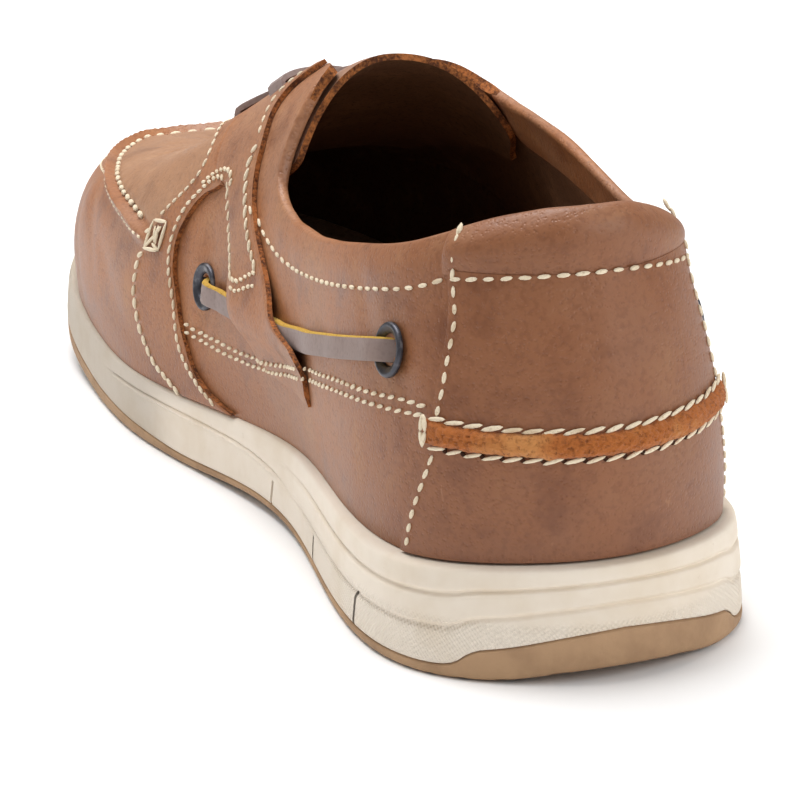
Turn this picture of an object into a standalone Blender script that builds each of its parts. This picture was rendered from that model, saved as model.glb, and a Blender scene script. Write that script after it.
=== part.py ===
from math import cos, pi, sin

import bmesh
import bpy
import numpy as np
from mathutils import Euler, Vector

# Main sizes, in metres
LENGTH = 0.300
BALL_WIDTH = 0.0967
HALF = BALL_WIDTH / 2
SOLE_HEIGHT = 0.0224
INSTEP_HEIGHT = 0.100
TOE_SPRING = 0.015

# Outline of the sole seen from above, a row for each twelfth of the half turn from heel to toe:
# inner side and outer side, in shares of half the ball width
PLAN = (
    (0.000, 0.000),
    (-0.362, 0.362),
    (-0.683, 0.672),
    (-0.778, 0.776),
    (-0.709, 0.786),
    (-0.633, 0.869),
    (-0.728, 1.034),
    (-0.852, 1.148),
    (-0.848, 1.096),
    (-0.800, 0.950),
    (-0.655, 0.690),
    (-0.420, 0.340),
    (-0.040, -0.040),
)

# Feather line, where the upper meets the sole: share of length, height in shares of the sole's
# heel height, inset from the outline in shares of half the ball width
FEATHER = (
    (0.00, 1.000, 0.062),
    (0.10, 0.925, 0.068),
    (0.20, 0.924, 0.064),
    (0.35, 0.826, 0.052),
    (0.50, 0.719, 0.039),
    (0.65, 0.661, 0.033),
    (0.80, 0.746, 0.041),
    (0.90, 0.915, 0.070),
    (1.00, 1.138, 0.076),
)

# Crest of the last: share of length, height in shares of the instep height, sideways shift in
# shares of half the ball width
CREST = (
    (0.00, 1.060, 0.000),
    (0.15, 1.060, 0.000),
    (0.25, 1.055, 0.000),
    (0.35, 1.030, 0.041),
    (0.43, 0.975, 0.062),
    (0.50, 0.885, 0.052),
    (0.56, 0.785, 0.036),
    (0.63, 0.680, 0.016),
    (0.70, 0.605, -0.004),
    (0.76, 0.566, -0.030),
    (0.82, 0.543, -0.040),
    (0.90, 0.520, -0.045),
    (1.00, 0.460, -0.050),
)
CREST_START = 0.085
CREST_END = 0.800

# Side walls: share of length, then for the inner side and for the outer side how far the wall
# leans out in shares of half the ball width, its upright share and its flat share
WALL = (
    (0.00, 0.062, 0.42, 0.66, 0.062, 0.42, 0.66),
    (0.15, 0.072, 0.42, 0.66, 0.072, 0.42, 0.66),
    (0.30, 0.145, 0.45, 0.62, 0.124, 0.45, 0.66),
    (0.42, 0.124, 0.46, 0.60, 0.103, 0.48, 0.64),
    (0.52, 0.041, 0.50, 0.58, 0.041, 0.52, 0.64),
    (0.63, 0.052, 0.62, 0.62, 0.052, 0.62, 0.66),
    (0.75, 0.093, 0.78, 0.66, 0.083, 0.78, 0.70),
    (0.87, 0.070, 0.86, 0.62, 0.093, 0.86, 0.64),
    (1.00, 0.062, 0.86, 0.55, 0.062, 0.86, 0.55),
)

# Finer sizes, in metres
GAP = 0.0003
SEAT_GAP = 0.0005
CORE_GAP = 0.0008
WALL_THICKNESS = 0.0020
PANEL_THICKNESS = 0.0012
BAND_THICKNESS = 0.0018
BAND_EDGE = 0.0005
PANEL_SINK = 0.0015
TAPE_THICKNESS = 0.0018
COLLAR_SWELL = 0.0008
SEAM_RIDGE = 0.0020
SEAM_GROOVE = 0.0006
INSOLE_THICKNESS = 0.0035
INSOLE_DISH = 0.0012
TONGUE_THICKNESS = 0.0026
TONGUE_GAP = 0.0014
SOLE_CORE = 0.0035
EDGE_ROUND = 0.0014
TREAD_DEPTH = 0.0015
TREAD_WIDTH = 0.0024
LACE_WIDTH = 0.0046
LACE_SAG = 0.055
LACE_SKEW = 1.4
LACE_THICKNESS = 0.0014
EYELET_RADIUS = 0.0056
EYELET_BORE = 0.0024
EYELET_BARREL = 0.0030
EYELET_LIP = 0.0010
EYELET_HOLE = 0.0034
EYELET_SAG = EYELET_RADIUS**2 / 0.052
EYELET_SIDES = 10

# Spreads and shifts along the rise, of the ridge, the groove and the collar
SEAM_LIMIT = 0.80
RIDGE_SHIFT = 0.032
RIDGE_SPREAD = 0.016
GROOVE_SPREAD = 0.010
SWELL_SHIFT = 0.045
SWELL_SPREAD = 0.040

# Places of the columns round the shoe, from heel to toe on one side
TURNS = (
    0.000, 0.035, 0.070, 0.105, 0.140, 0.175, 0.215, 0.255, 0.295, 0.335, 0.370, 0.405,
    0.430, 0.445, 0.457, 0.470, 0.490, 0.515, 0.545, 0.575, 0.605, 0.640,
    0.680, 0.720, 0.765, 0.810, 0.860, 0.910, 0.960, 1.000,
)

# Edge of the opening: turn, rise on the inner side, rise on the outer side
EDGE = (
    (0.000, 0.605, 0.605),
    (0.057, 0.603, 0.600),
    (0.103, 0.590, 0.579),
    (0.170, 0.547, 0.525),
    (0.218, 0.509, 0.495),
    (0.284, 0.462, 0.480),
    (0.337, 0.426, 0.520),
    (0.374, 0.411, 0.551),
    (0.403, 0.412, 0.568),
    (0.423, 0.426, 0.580),
    (0.445, 0.467, 0.596),
    (0.455, 0.535, 0.612),
    (0.465, 0.680, 0.630),
    (0.480, 0.800, 0.670),
    (0.500, 0.830, 0.770),
    (0.515, 0.838, 0.822),
    (0.550, 0.850, 0.850),
    (0.680, 0.860, 0.860),
    (1.000, 0.880, 0.880),
)
THROAT_END = 0.680
# How far the front end of the throat and the columns ahead of it are drawn forward at the crest
THROAT_SQUARE = 0.018
THROAT_SQUARE_END = 0.860
TURN_HALVINGS = 24

# Seam round the apron: turn, rise
SEAM = (
    (0.000, 0.380),
    (0.300, 0.300),
    (0.560, 0.310),
    (0.594, 0.346),
    (0.614, 0.373),
    (0.658, 0.420),
    (0.709, 0.475),
    (0.748, 0.505),
    (0.795, 0.535),
    (0.830, 0.555),
    (0.880, 0.580),
    (0.940, 0.595),
    (1.000, 0.600),
)
SEAM_START = 0.560
SEAM_FULL = 0.610

# Rows of the upper: share of the way to the seam, from there to the edge, and on to the crest
ROWS_TO_SEAM = (0.00, 0.25, 0.50, 0.75, 0.88, 0.95, 1.00)
ROWS_TO_EDGE = (0.12, 0.36, 0.60, 0.80, 0.93, 1.00)
ROWS_TO_CREST = (0.35, 0.70, 1.00)

# Height of the sole's rim round the outsole: turn, height in shares of the sole's heel height
RIM = (
    (0.000, 0.335),
    (0.040, 0.317),
    (0.080, 0.295),
    (0.105, 0.275),
    (0.120, 0.245),
    (0.135, 0.185),
    (0.150, 0.125),
    (0.170, 0.105),
    (0.250, 0.100),
    (0.350, 0.090),
    (0.450, 0.085),
    (0.520, 0.100),
    (0.580, 0.143),
    (0.650, 0.170),
    (0.800, 0.190),
    (1.000, 0.220),
)

# Ground side of the sole: share of length, lift in shares of the toe spring
GROUND = (
    (0.00, 0.180),
    (0.03, 0.025),
    (0.06, 0.000),
    (0.27, 0.000),
    (0.42, 0.100),
    (0.56, 0.000),
    (0.72, 0.000),
    (0.80, 0.130),
    (0.90, 0.480),
    (1.00, 1.000),
)

# Side of the midsole at the heel: share of the way down, share of the way out
SIDE_STEPS = (
    (0.00, 0.20),
    (0.02, 0.55),
    (0.11, 0.74),
    (0.25, 0.78),
    (0.28, 0.66),
    (0.33, 0.84),
    (0.55, 0.93),
    (0.60, 0.82),
    (0.66, 0.93),
    (1.00, 1.00),
)
# The same side ahead of the waist, where the steps have faded
SIDE_PLAIN = (0.20, 0.50, 0.68, 0.78, 0.80, 0.83, 0.92, 0.93, 0.95, 1.00)
STEPS_END = 0.40
STEPS_FULL = 0.28

# Slanting notches in the lower edge of the midsole: share of length, height
NOTCHES = ((0.146, 0.0076), (0.273, 0.0062), (0.391, 0.0056))
NOTCH_DEPTH = 0.0022
NOTCH_WIDTH = 0.0012
NOTCH_TILT = 0.25

# Fields of tread grooves: shares of length of the first and last, and their middle across
TREAD_FIELDS = ((0.07, 0.25, 0.000), (0.56, 0.72, 0.004))
TREAD_COUNT = 5
TREAD_TURN = 0.12
TREAD_REACH = BALL_WIDTH * 0.28

# Saddle: rise, then turns of its front edge, of the rear edge of its wing, and of the front and
# rear edges of its strap
SADDLE = (
    (0.004, 0.529, 0.480, 0.440, 0.368),
    (0.030, 0.544, 0.498, 0.440, 0.368),
    (0.060, 0.558, 0.511, 0.440, 0.368),
    (0.105, 0.568, 0.525, 0.440, 0.369),
    (0.140, 0.574, 0.531, 0.447, 0.373),
    (0.178, 0.579, 0.537, 0.455, 0.379),
    (0.206, 0.580, 0.542, 0.462, 0.397),
    (0.240, 0.578, 0.546, 0.468, 0.422),
    (0.285, 0.576, 0.550, 0.478, 0.436),
    (0.330, 0.573, 0.550, 0.494, 0.450),
    (0.368, 0.568, 0.549, 0.501, 0.461),
    (0.400, 0.564, 0.545, 0.507, 0.470),
    (0.430, 0.561, 0.541, 0.513, 0.477),
    (0.455, 0.558, 0.532, 0.520, 0.483),
    (0.500, 0.556, 0.536, 0.516, 0.492),
    (0.560, 0.561, 0.543, 0.522, 0.499),
    (0.620, 0.573, 0.552, 0.530, 0.503),
    (0.700, 0.596, 0.570, 0.540, 0.506),
    (0.780, 0.622, 0.588, 0.546, 0.494),
    (0.825, 0.632, 0.594, 0.552, 0.484),
)
STRAP_START = 3
WING_TOP = 13
SADDLE_STEPS = 3
STRAP_FRONT = 0.470
# How much further forward the rear corner of the outer saddle lies
OUTER_CORNER = 0.030
WING_REAR = 0.515
STRAP_COVER = 0.0022
STRAP_SPREAD = 0.080

# Seams of the heel panel: rise, turn
HEEL_SEAM = (
    (0.004, 0.197),
    (0.080, 0.186),
    (0.138, 0.174),
    (0.193, 0.162),
    (0.269, 0.158),
    (0.348, 0.153),
    (0.407, 0.152),
    (0.462, 0.156),
)
PANEL_TOP = 0.455
HEEL_COLUMNS = 15
BAND_LOW = 0.472
BAND_MARGIN = 0.006
BAND_TURN = 0.162
SINK_END = 0.320
BAND_ROWS = (0.00, 0.10, 0.35, 0.65, 0.90, 1.00)
TAPE_TURN = 0.163
TAPE_RISE = 0.212
TAPE_HALF = 0.026
TAPE_TIP = 0.018
TAPE_ROWS = (-1.0, -0.7, 0.7, 1.0)

# Tongue: shares of length of its rear and front ends, rise of its side edges
TONGUE_REAR = 0.435
TONGUE_SWEEP = -0.018
TONGUE_FRONT = 0.670
TONGUE_SIDE = 0.500
TONGUE_TAPER = 0.350
TONGUE_COLUMNS = 15
TONGUE_ROWS = 7

# Side laces: turns and rises of the front and rear eyelets
EYELET_FRONT = (0.510, 0.232)
EYELET_REAR = (0.220, 0.325)

# Holes of the lace beside the throat: turn, rise
THROAT_HOLE = 0.0022
THROAT_FRONT = (0.590, 0.745)
THROAT_REAR = (0.532, 0.745)
SIDE_LACE_STEPS = 19
THROAT_LACE_STEPS = 11
LACE_STEP = 0.0004


# Finishes: colour, roughness, metallic
FINISHES = {
    "leather": ((0.392, 0.205, 0.122), 0.55),
    "tape": ((0.515, 0.156, 0.042), 0.90),
    "lining": ((0.061, 0.035, 0.022), 0.80),
    "foam": ((0.820, 0.740, 0.640), 0.60),
    "rubber": ((0.402, 0.262, 0.162), 0.70),
    "metal": ((0.120, 0.120, 0.130), 0.40, 0.9),
    "lace": ((0.305, 0.231, 0.216), 0.70),
}


def ring_curve(values, place):
    """Smooth closed curve through evenly spaced values."""
    knots = np.asarray(values, float)
    count = len(knots)
    before, after = np.roll(knots, 1), np.roll(knots, -1)
    system = 4 * np.eye(count) + np.roll(np.eye(count), 1, 0) + np.roll(np.eye(count), -1, 0)
    bend = np.linalg.solve(system, 6 * (before - 2 * knots + after))
    place = np.mod(np.asarray(place, float), count)
    low = np.floor(place).astype(int) % count
    high = (low + 1) % count
    part = place - np.floor(place)
    rest = 1 - part
    straight = knots[low] * rest + knots[high] * part
    return straight + ((rest**3 - rest) * bend[low] + (part**3 - part) * bend[high]) / 6


def smooth(table, column, place):
    """Smooth open curve through one column of a table, by its first column."""
    rows = np.array(table, float)
    knots, values = rows[:, 0], rows[:, column]
    count = len(knots)
    step = np.diff(knots)
    system = np.eye(count)
    load = np.zeros(count)
    for i in range(1, count - 1):
        system[i, i - 1:i + 2] = step[i - 1], 2 * (step[i - 1] + step[i]), step[i]
        load[i] = 6 * ((values[i + 1] - values[i]) / step[i] - (values[i] - values[i - 1]) / step[i - 1])
    bend = np.linalg.solve(system, load)
    place = np.clip(np.asarray(place, float), knots[0], knots[-1])
    low = np.clip(np.searchsorted(knots, place, side="right") - 1, 0, count - 2)
    gap = step[low]
    left, right = (knots[low + 1] - place) / gap, (place - knots[low]) / gap
    curve = (left**3 - left) * bend[low] + (right**3 - right) * bend[low + 1]
    return left * values[low] + right * values[low + 1] + curve * gap**2 / 6


def eased(table, column, place):
    """Curve through one column of a table that never swings past a knot."""
    rows = np.array(table, float)
    knots, values = rows[:, 0], rows[:, column]
    step = np.diff(knots)
    slope = np.diff(values) / step
    turn = np.zeros(len(knots))
    product = slope[:-1] * slope[1:]
    total = np.where(np.abs(slope[:-1] + slope[1:]) < 1e-12, 1.0, slope[:-1] + slope[1:])
    turn[1:-1] = np.where(product > 0, 2 * product / total, 0.0)
    turn[0], turn[-1] = slope[0], slope[-1]
    place = np.clip(np.asarray(place, float), knots[0], knots[-1])
    low = np.clip(np.searchsorted(knots, place, side="right") - 1, 0, len(knots) - 2)
    gap = step[low]
    part = (place - knots[low]) / gap
    flat = part * part * (3 - 2 * part)
    start = part * (1 - part)**2 * turn[low] * gap
    end = part * part * (part - 1) * turn[low + 1] * gap
    return values[low] + (values[low + 1] - values[low]) * flat + start + end


def along(turn):
    """Distance from the heel at a place on the half turn, 0 at the heel and 1 at the toe."""
    return LENGTH / 2 * (1 - np.cos(pi * np.asarray(turn, float)))


def outline(turn):
    """Point of the sole's outline; turn is negative on the inner side."""
    inner = [row[0] for row in PLAN[-2:0:-1]]
    outer = [row[1] for row in PLAN]
    across = ring_curve(outer + inner, np.asarray(turn, float) * (len(PLAN) - 1)) * HALF
    return np.stack([across, along(turn)], -1)


def outward(turn):
    """Level direction that points out of the sole's outline."""
    small = 1e-4
    move = outline(np.asarray(turn, float) + small) - outline(np.asarray(turn, float) - small)
    normal = np.stack([move[..., 1], -move[..., 0]], -1)
    return normal / np.linalg.norm(normal, axis=-1, keepdims=True)


def feather(turn):
    """Point of the feather line."""
    share = along(turn) / LENGTH
    inset = smooth(FEATHER, 2, share) * HALF
    plan = outline(turn) - outward(turn) * inset[..., None]
    return np.concatenate([plan, (smooth(FEATHER, 1, share) * SOLE_HEIGHT)[..., None]], -1)


def crest(turn):
    """Point of the crest of the last."""
    turn = np.asarray(turn, float)
    share = CREST_START + (CREST_END - CREST_START) * (1 - np.cos(pi * turn)) / 2
    height = smooth(CREST, 1, share) * INSTEP_HEIGHT
    return np.stack([smooth(CREST, 2, share) * HALF, share * LENGTH, height], -1)


def last(turn, rise):
    """Point on the last: rise is 0 at the feather line and 1 at the crest."""
    turn, rise = np.broadcast_arrays(np.asarray(turn, float), np.asarray(rise, float))
    share = along(turn) / LENGTH
    inner = turn < 0
    lean, upright, flat = (
        np.where(inner, smooth(WALL, column, share), smooth(WALL, column + 3, share))
        for column in (1, 2, 3)
    )
    low, top = feather(turn), crest(turn)
    reach = top - low
    level = np.hypot(reach[..., 0], reach[..., 1])
    out = np.stack([-reach[..., 0] / level, -reach[..., 1] / level, np.zeros_like(level)], -1)
    up = np.array([0.0, 0.0, 1.0])
    low_handle = low + out * (lean * HALF)[..., None] + up * (reach[..., 2] * upright)[..., None]
    top_handle = top + out * (level * flat)[..., None]
    top_handle[..., 2] = smooth(CREST, 1, top_handle[..., 1] / LENGTH) * INSTEP_HEIGHT
    rise = rise[..., None]
    back = 1 - rise
    return (back**3 * low + 3 * back**2 * rise * low_handle
            + 3 * back * rise**2 * top_handle + rise**3 * top)


def last_normal(turn, rise):
    """Outward direction of the last."""
    small = 1e-3
    turn, rise = np.broadcast_arrays(np.asarray(turn, float), np.asarray(rise, float))
    rise_low, rise_high = np.clip(rise - small, 0, 1 - 2 * small), np.clip(rise + small, 2 * small, 1)
    turn_step = last(turn + small, rise) - last(turn - small, rise)
    rise_step = last(turn, rise_high) - last(turn, rise_low)
    normal = np.cross(turn_step, rise_step)
    size = np.linalg.norm(normal, axis=-1, keepdims=True)
    return normal / np.maximum(size, 1e-12)


def offset(turn, rise, away):
    """Point at a distance from the last."""
    return last(turn, rise) + last_normal(turn, rise) * np.asarray(away)[..., None]


def turn_at(distance, rise, side):
    """Turn at which the last is a distance from the heel, on one side and at one rise."""
    low, high = np.zeros(np.shape(distance)), np.ones(np.shape(distance))
    for _ in range(TURN_HALVINGS):
        middle = (low + high) / 2
        short = last(side * middle, rise)[..., 1] < distance
        low, high = np.where(short, middle, low), np.where(short, high, middle)
    return side * (low + high) / 2


def edge_rise(turn):
    """Rise of the edge of the opening."""
    turn = np.asarray(turn, float)
    side = np.abs(turn)
    return np.where(turn < 0, eased(EDGE, 1, side), eased(EDGE, 2, side))


def ground(share):
    """Height of the ground side of the sole."""
    return eased(GROUND, 1, share) * TOE_SPRING


def ramp(value, low, high):
    """Smooth step from 0 at low to 1 at high."""
    part = np.clip((np.asarray(value, float) - low) / (high - low), 0, 1)
    return part * part * (3 - 2 * part)


def ring_turns():
    """Turns of the columns all the way round, from the toe over the inner side and back."""
    inner = [-turn for turn in TURNS[:0:-1]]
    return np.array(inner + list(TURNS[:-1]))


def new_material(name, color, roughness, metallic=0.0):
    """Material with one plain finish."""
    material = bpy.data.materials.new(name)
    material.use_nodes = True
    shader = material.node_tree.nodes["Principled BSDF"]
    shader.inputs["Base Color"].default_value = (*color, 1.0)
    shader.inputs["Roughness"].default_value = roughness
    shader.inputs["Metallic"].default_value = metallic
    material.diffuse_color = (*color, 1.0)
    return material


def new_object(name, points, faces, material, collection):
    """Object from points and faces, with its faces turned outwards."""
    mesh = bpy.data.meshes.new(name)
    mesh.from_pydata([tuple(point) for point in points], [], faces)
    work = bmesh.new()
    work.from_mesh(mesh)
    bmesh.ops.remove_doubles(work, verts=work.verts, dist=1e-7)
    bmesh.ops.dissolve_degenerate(work, edges=work.edges, dist=1e-8)
    bmesh.ops.triangulate(work, faces=work.faces, quad_method="SHORT_EDGE")
    bmesh.ops.recalc_face_normals(work, faces=work.faces)
    work.to_mesh(mesh)
    work.free()
    if material is not None:
        mesh.materials.append(material)
    thing = bpy.data.objects.new(name, mesh)
    collection.objects.link(thing)
    return thing


def solid_rings(name, rows, material, collection):
    """Closed solid from rows of points round the shoe; the first and last rows are spines."""
    rows = np.array(rows)
    count = rows.shape[1]
    half = count // 2
    points, index = [], {}

    def key(row, column):
        column %= count
        if row in (0, len(rows) - 1) and column > half:
            column = count - column
        return row, column

    def vertex(row, column):
        place = key(row, column)
        if place not in index:
            index[place] = len(points)
            points.append(rows[place])
        return index[place]

    faces = []
    for row in range(len(rows) - 1):
        for column in range(count):
            corners = (
                vertex(row, column),
                vertex(row, column + 1),
                vertex(row + 1, column + 1),
                vertex(row + 1, column),
            )
            faces.append(tuple(dict.fromkeys(corners)))
    return new_object(name, points, [face for face in faces if len(face) > 2], material, collection)


def shell(name, outer, inner, keep, material, collection, same=None):
    """Closed sheet between two grids of points; keep tells which cells are there."""
    same = same or (lambda row, column: (row, column))
    points, index, faces, edges = [], {}, [], {}

    def vertex(layer, row, column):
        row, column = same(row, column)
        place = (layer, row, column)
        if place not in index:
            index[place] = len(points)
            points.append((outer, inner)[layer][row][column])
        return index[place]

    rows, columns = keep.shape
    for row in range(rows):
        for column in range(columns):
            if not keep[row, column]:
                continue
            corners = ((row, column), (row, column + 1), (row + 1, column + 1), (row + 1, column))
            top = [vertex(0, *corner) for corner in corners]
            low = [vertex(1, *corner) for corner in corners]
            top_face = tuple(dict.fromkeys(top))
            if len(top_face) < 3:
                continue
            faces.append(top_face)
            faces.append(tuple(dict.fromkeys(low))[::-1])
            for i in range(4):
                start, end = top[i], top[(i + 1) % 4]
                if start != end:
                    edges[(start, end)] = (low[i], low[(i + 1) % 4])
    for (start, end), (low_start, low_end) in edges.items():
        if (end, start) not in edges:
            faces.append((end, start, low_start, low_end))
    return new_object(name, points, faces, material, collection)


def boolean(thing, cutter, operation):
    """Join a cutter to an object, or take it out."""
    modifier = thing.modifiers.new(cutter.name, "BOOLEAN")
    modifier.operation = operation
    modifier.solver = "EXACT"
    modifier.object = cutter
    cutter.hide_render = True
    cutter.display_type = "WIRE"


def cut(thing, cutter):
    """Take a cutter out of an object."""
    boolean(thing, cutter, "DIFFERENCE")


def boxes(name, places, collection):
    """One cutter made of boxes, each from its middle, its three half sizes and its turn."""
    points, faces = [], []
    for middle, halves, turn in places:
        first = len(points)
        for corner in range(8):
            local = Vector([
                half * (1 if corner >> axis & 1 else -1) for axis, half in enumerate(halves)
            ])
            points.append(turn @ local + Vector(middle))
        sides = ((0, 2, 3, 1), (4, 5, 7, 6), (0, 1, 5, 4), (2, 6, 7, 3), (0, 4, 6, 2), (1, 3, 7, 5))
        faces += [tuple(first + corner for corner in side) for side in sides]
    return new_object(name, points, faces, None, collection)


def midline(turn):
    """Middle of the sole below the crest."""
    top = crest(turn)
    share = top[..., 1] / LENGTH
    place = np.arccos(np.clip(1 - 2 * share, -1, 1)) / pi
    left, right = outline(-place), outline(place)
    return np.stack([(left[..., 0] + right[..., 0]) / 2, top[..., 1]], -1)


def level_row(turn, plan, height):
    """Row of points from its plan and its height."""
    height = np.broadcast_to(height, np.shape(turn))
    return np.concatenate([plan, height[..., None]], -1)


def build_sole(parts, cutters, materials):
    """Outsole, midsole and insole."""
    turn = ring_turns()
    rim_plan = outline(turn)
    out = outward(turn)
    share = along(turn) / LENGTH
    middle = midline(turn)
    middle_share = middle[..., 1] / LENGTH
    floor = ground(share)
    floor_middle = ground(middle_share)
    rim_height = eased(RIM, 1, np.abs(turn)) * SOLE_HEIGHT
    rim = floor + rim_height
    core = np.minimum(rim_height, SOLE_CORE)
    place = np.arccos(np.clip(1 - 2 * middle_share, -1, 1)) / pi
    core_middle = np.minimum(eased(RIM, 1, place) * SOLE_HEIGHT, SOLE_CORE)

    def inside(distance):
        return rim_plan - out * distance

    outsole = solid_rings("outsole", [
        level_row(turn, middle, floor_middle + core_middle),
        level_row(turn, inside(0.0046), floor + core),
        level_row(turn, inside(0.0024), rim),
        level_row(turn, rim_plan, rim),
        level_row(turn, rim_plan, floor + np.minimum(EDGE_ROUND, rim_height / 2)),
        level_row(turn, inside(EDGE_ROUND), floor),
        level_row(turn, inside(0.0090), floor),
        level_row(turn, middle, floor_middle),
    ], materials["rubber"], parts)

    edge = feather(turn)
    reach = rim_plan - edge[..., :2]
    top = edge[..., 2] - GAP
    drop = top - rim - GAP
    steps = 1 - ramp(share, STEPS_FULL, STEPS_END)
    middle_top = smooth(FEATHER, 1, middle_share) * SOLE_HEIGHT - INSOLE_DISH
    rows = [
        level_row(turn, middle, middle_top - CORE_GAP),
        level_row(turn, edge[..., :2] - out * 0.0035, top),
    ]
    for (down, stepped), plain in zip(SIDE_STEPS, SIDE_PLAIN):
        way = (stepped * steps + plain * (1 - steps))[..., None]
        rows.append(level_row(turn, edge[..., :2] + reach * way, top - drop * down))
    rows += [
        level_row(turn, inside(0.0027), rim + GAP),
        level_row(turn, inside(0.0049), floor + core + GAP),
        level_row(turn, middle, floor_middle + core_middle + CORE_GAP),
    ]
    midsole = solid_rings("midsole", rows, materials["foam"], parts)

    inner = edge[..., :2] - out * (WALL_THICKNESS + 2 * GAP - relief(turn, 0.0))[..., None]
    solid_rings("insole", [
        level_row(turn, middle, middle_top + INSOLE_THICKNESS),
        level_row(turn, inner - out * 0.004, edge[..., 2] + INSOLE_THICKNESS - INSOLE_DISH / 2),
        level_row(turn, inner, edge[..., 2] + INSOLE_THICKNESS),
        level_row(turn, inner, edge[..., 2]),
        level_row(turn, inner - out * 0.0012, edge[..., 2]),
        level_row(turn, middle, middle_top),
    ], materials["lining"], parts)

    grooves = []
    for start, end, middle_x in TREAD_FIELDS:
        for step in range(TREAD_COUNT):
            place = LENGTH * (start + (end - start) * step / (TREAD_COUNT - 1))
            tilt = Euler((0, 0, TREAD_TURN * (1 if step % 2 else -1))).to_matrix()
            halves = (TREAD_REACH, TREAD_WIDTH / 2, TREAD_DEPTH)
            grooves.append(((middle_x, place, 0.0), halves, tilt))
    cut(outsole, boxes("tread_cutter", grooves, cutters))

    slots = []
    for side in (-1, 1):
        for spot_share, height in NOTCHES:
            place = side * np.arccos(1 - 2 * spot_share) / pi
            spot, away = outline(place), outward(place)
            tilt = Euler((NOTCH_TILT * side, 0, np.arctan2(away[1], away[0]))).to_matrix()
            low = ground(spot_share) + eased(RIM, 1, abs(place)) * SOLE_HEIGHT
            slots.append(((*spot, low + GAP), (NOTCH_DEPTH, NOTCH_WIDTH / 2, height), tilt))
    cut(midsole, boxes("notch_cutter", slots, cutters))


def relief(turn, rise):
    """Height of the upper's outer face over the last: apron ridge, seam groove and collar swell."""
    side = np.abs(turn)
    edge = edge_rise(turn)
    seam = np.minimum(eased(SEAM, 1, side), edge * SEAM_LIMIT)
    apart = rise - seam
    ridge = np.exp(-((apart + RIDGE_SHIFT) / RIDGE_SPREAD)**2) * SEAM_RIDGE
    groove = np.exp(-(apart / GROOVE_SPREAD)**2) * SEAM_GROOVE
    swell = np.exp(-((rise - edge + SWELL_SHIFT) / SWELL_SPREAD)**2) * COLLAR_SWELL
    apron = ramp(side, SEAM_START, SEAM_FULL)
    sink = PANEL_SINK * (1 - ramp(side, BAND_TURN, SINK_END))
    return (ridge - groove) * apron + swell * (1 - ramp(side, 0.40, 0.47)) - sink


def upper_rises(turn):
    """Rises of the upper's rows, from the feather line over the seam and the edge to the crest."""
    edge = edge_rise(turn)
    seam = np.minimum(eased(SEAM, 1, np.abs(turn)), edge * SEAM_LIMIT)
    rises = [seam * part for part in ROWS_TO_SEAM]
    rises += [seam + (edge - seam) * part for part in ROWS_TO_EDGE]
    rises += [edge + (1 - edge) * part for part in ROWS_TO_CREST]
    return np.array(rises)


def build_upper(parts, materials, holes):
    """Upper as one hollow shell with its collar, throat and apron ridge."""
    turn = ring_turns()
    rises = upper_rises(turn)
    square = 1 - ramp(np.abs(turn), THROAT_END, THROAT_SQUARE_END)
    ahead = np.abs(turn) > THROAT_END - GAP
    above = np.clip((rises - edge_rise(turn)) / (1 - edge_rise(turn)), 0, 1)
    turns = turn + np.sign(turn) * THROAT_SQUARE * square * ahead * above
    away = relief(turns, rises)
    outer = offset(turns, rises, away)
    inner = offset(turns, rises, away - WALL_THICKNESS)
    inner[0, :, 2] = outer[0, :, 2]
    count = len(turn)
    top = len(rises) - 1
    mirror = -np.arange(count) % count
    outer[top] = (outer[top] + outer[top][mirror]) / 2
    inner[top] = (inner[top] + inner[top][mirror]) / 2
    keep = np.ones((top, count), bool)
    throat = np.maximum(np.abs(turn), np.abs(np.roll(turn, -1))) < THROAT_END + GAP
    keep[top - len(ROWS_TO_CREST):, throat] = False

    def same(row, column):
        column %= count
        if row == top and column > count // 2:
            column = count - column
        return row, column

    upper = shell("upper", outer, inner, keep, materials["leather"], parts, same)
    for hole in holes:
        cut(upper, hole)


def frame_at(turn, rise):
    """Point of the last with its two tangents and its normal."""
    small = 1e-3
    point, normal = last(turn, rise), last_normal(turn, rise)
    back = last(turn - small, rise) - last(turn + small, rise)
    back = back - normal * (back @ normal)
    back = back / np.linalg.norm(back)
    return point, back, np.cross(normal, back), normal


def turned(name, place, profile, closed, material, collection):
    """Body turned about the last's normal from a profile of heights and radii."""
    point, first, second, normal = frame_at(*place)
    points, faces = [], []
    for step in range(EYELET_SIDES):
        angle = 2 * pi * step / EYELET_SIDES
        arm = first * cos(angle) + second * sin(angle)
        points += [point + normal * height + arm * radius for height, radius in profile]
    count = len(profile)
    for step in range(EYELET_SIDES):
        start, ahead = step * count, (step + 1) % EYELET_SIDES * count
        for i in range(count if closed else count - 1):
            j = (i + 1) % count
            faces.append((start + i, ahead + i, ahead + j, start + j))
    return new_object(name, points, faces, material, collection)


def eyelet_places():
    """Name, turn and rise of each eyelet."""
    for side, word in ((-1, "inner"), (1, "outer")):
        for spot, (turn, rise) in (("front", EYELET_FRONT), ("rear", EYELET_REAR)):
            yield f"eyelet_{word}_{spot}", (side * turn, rise)


def build_eyelets(parts, materials):
    """Eyelets of the side laces, each with a rounded lip and a barrel."""
    low = EYELET_SAG + GAP
    profile = (
        (-WALL_THICKNESS - GAP, EYELET_BORE),
        (-WALL_THICKNESS - GAP, EYELET_BARREL),
        (low, EYELET_BARREL),
        (low, EYELET_RADIUS),
        (low + EYELET_LIP, EYELET_RADIUS * 0.84),
        (low + EYELET_LIP, EYELET_RADIUS * 0.62),
        (low + EYELET_LIP * 0.3, EYELET_BORE),
    )
    for name, place in eyelet_places():
        turned(name, place, profile, True, materials["metal"], parts)


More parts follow.
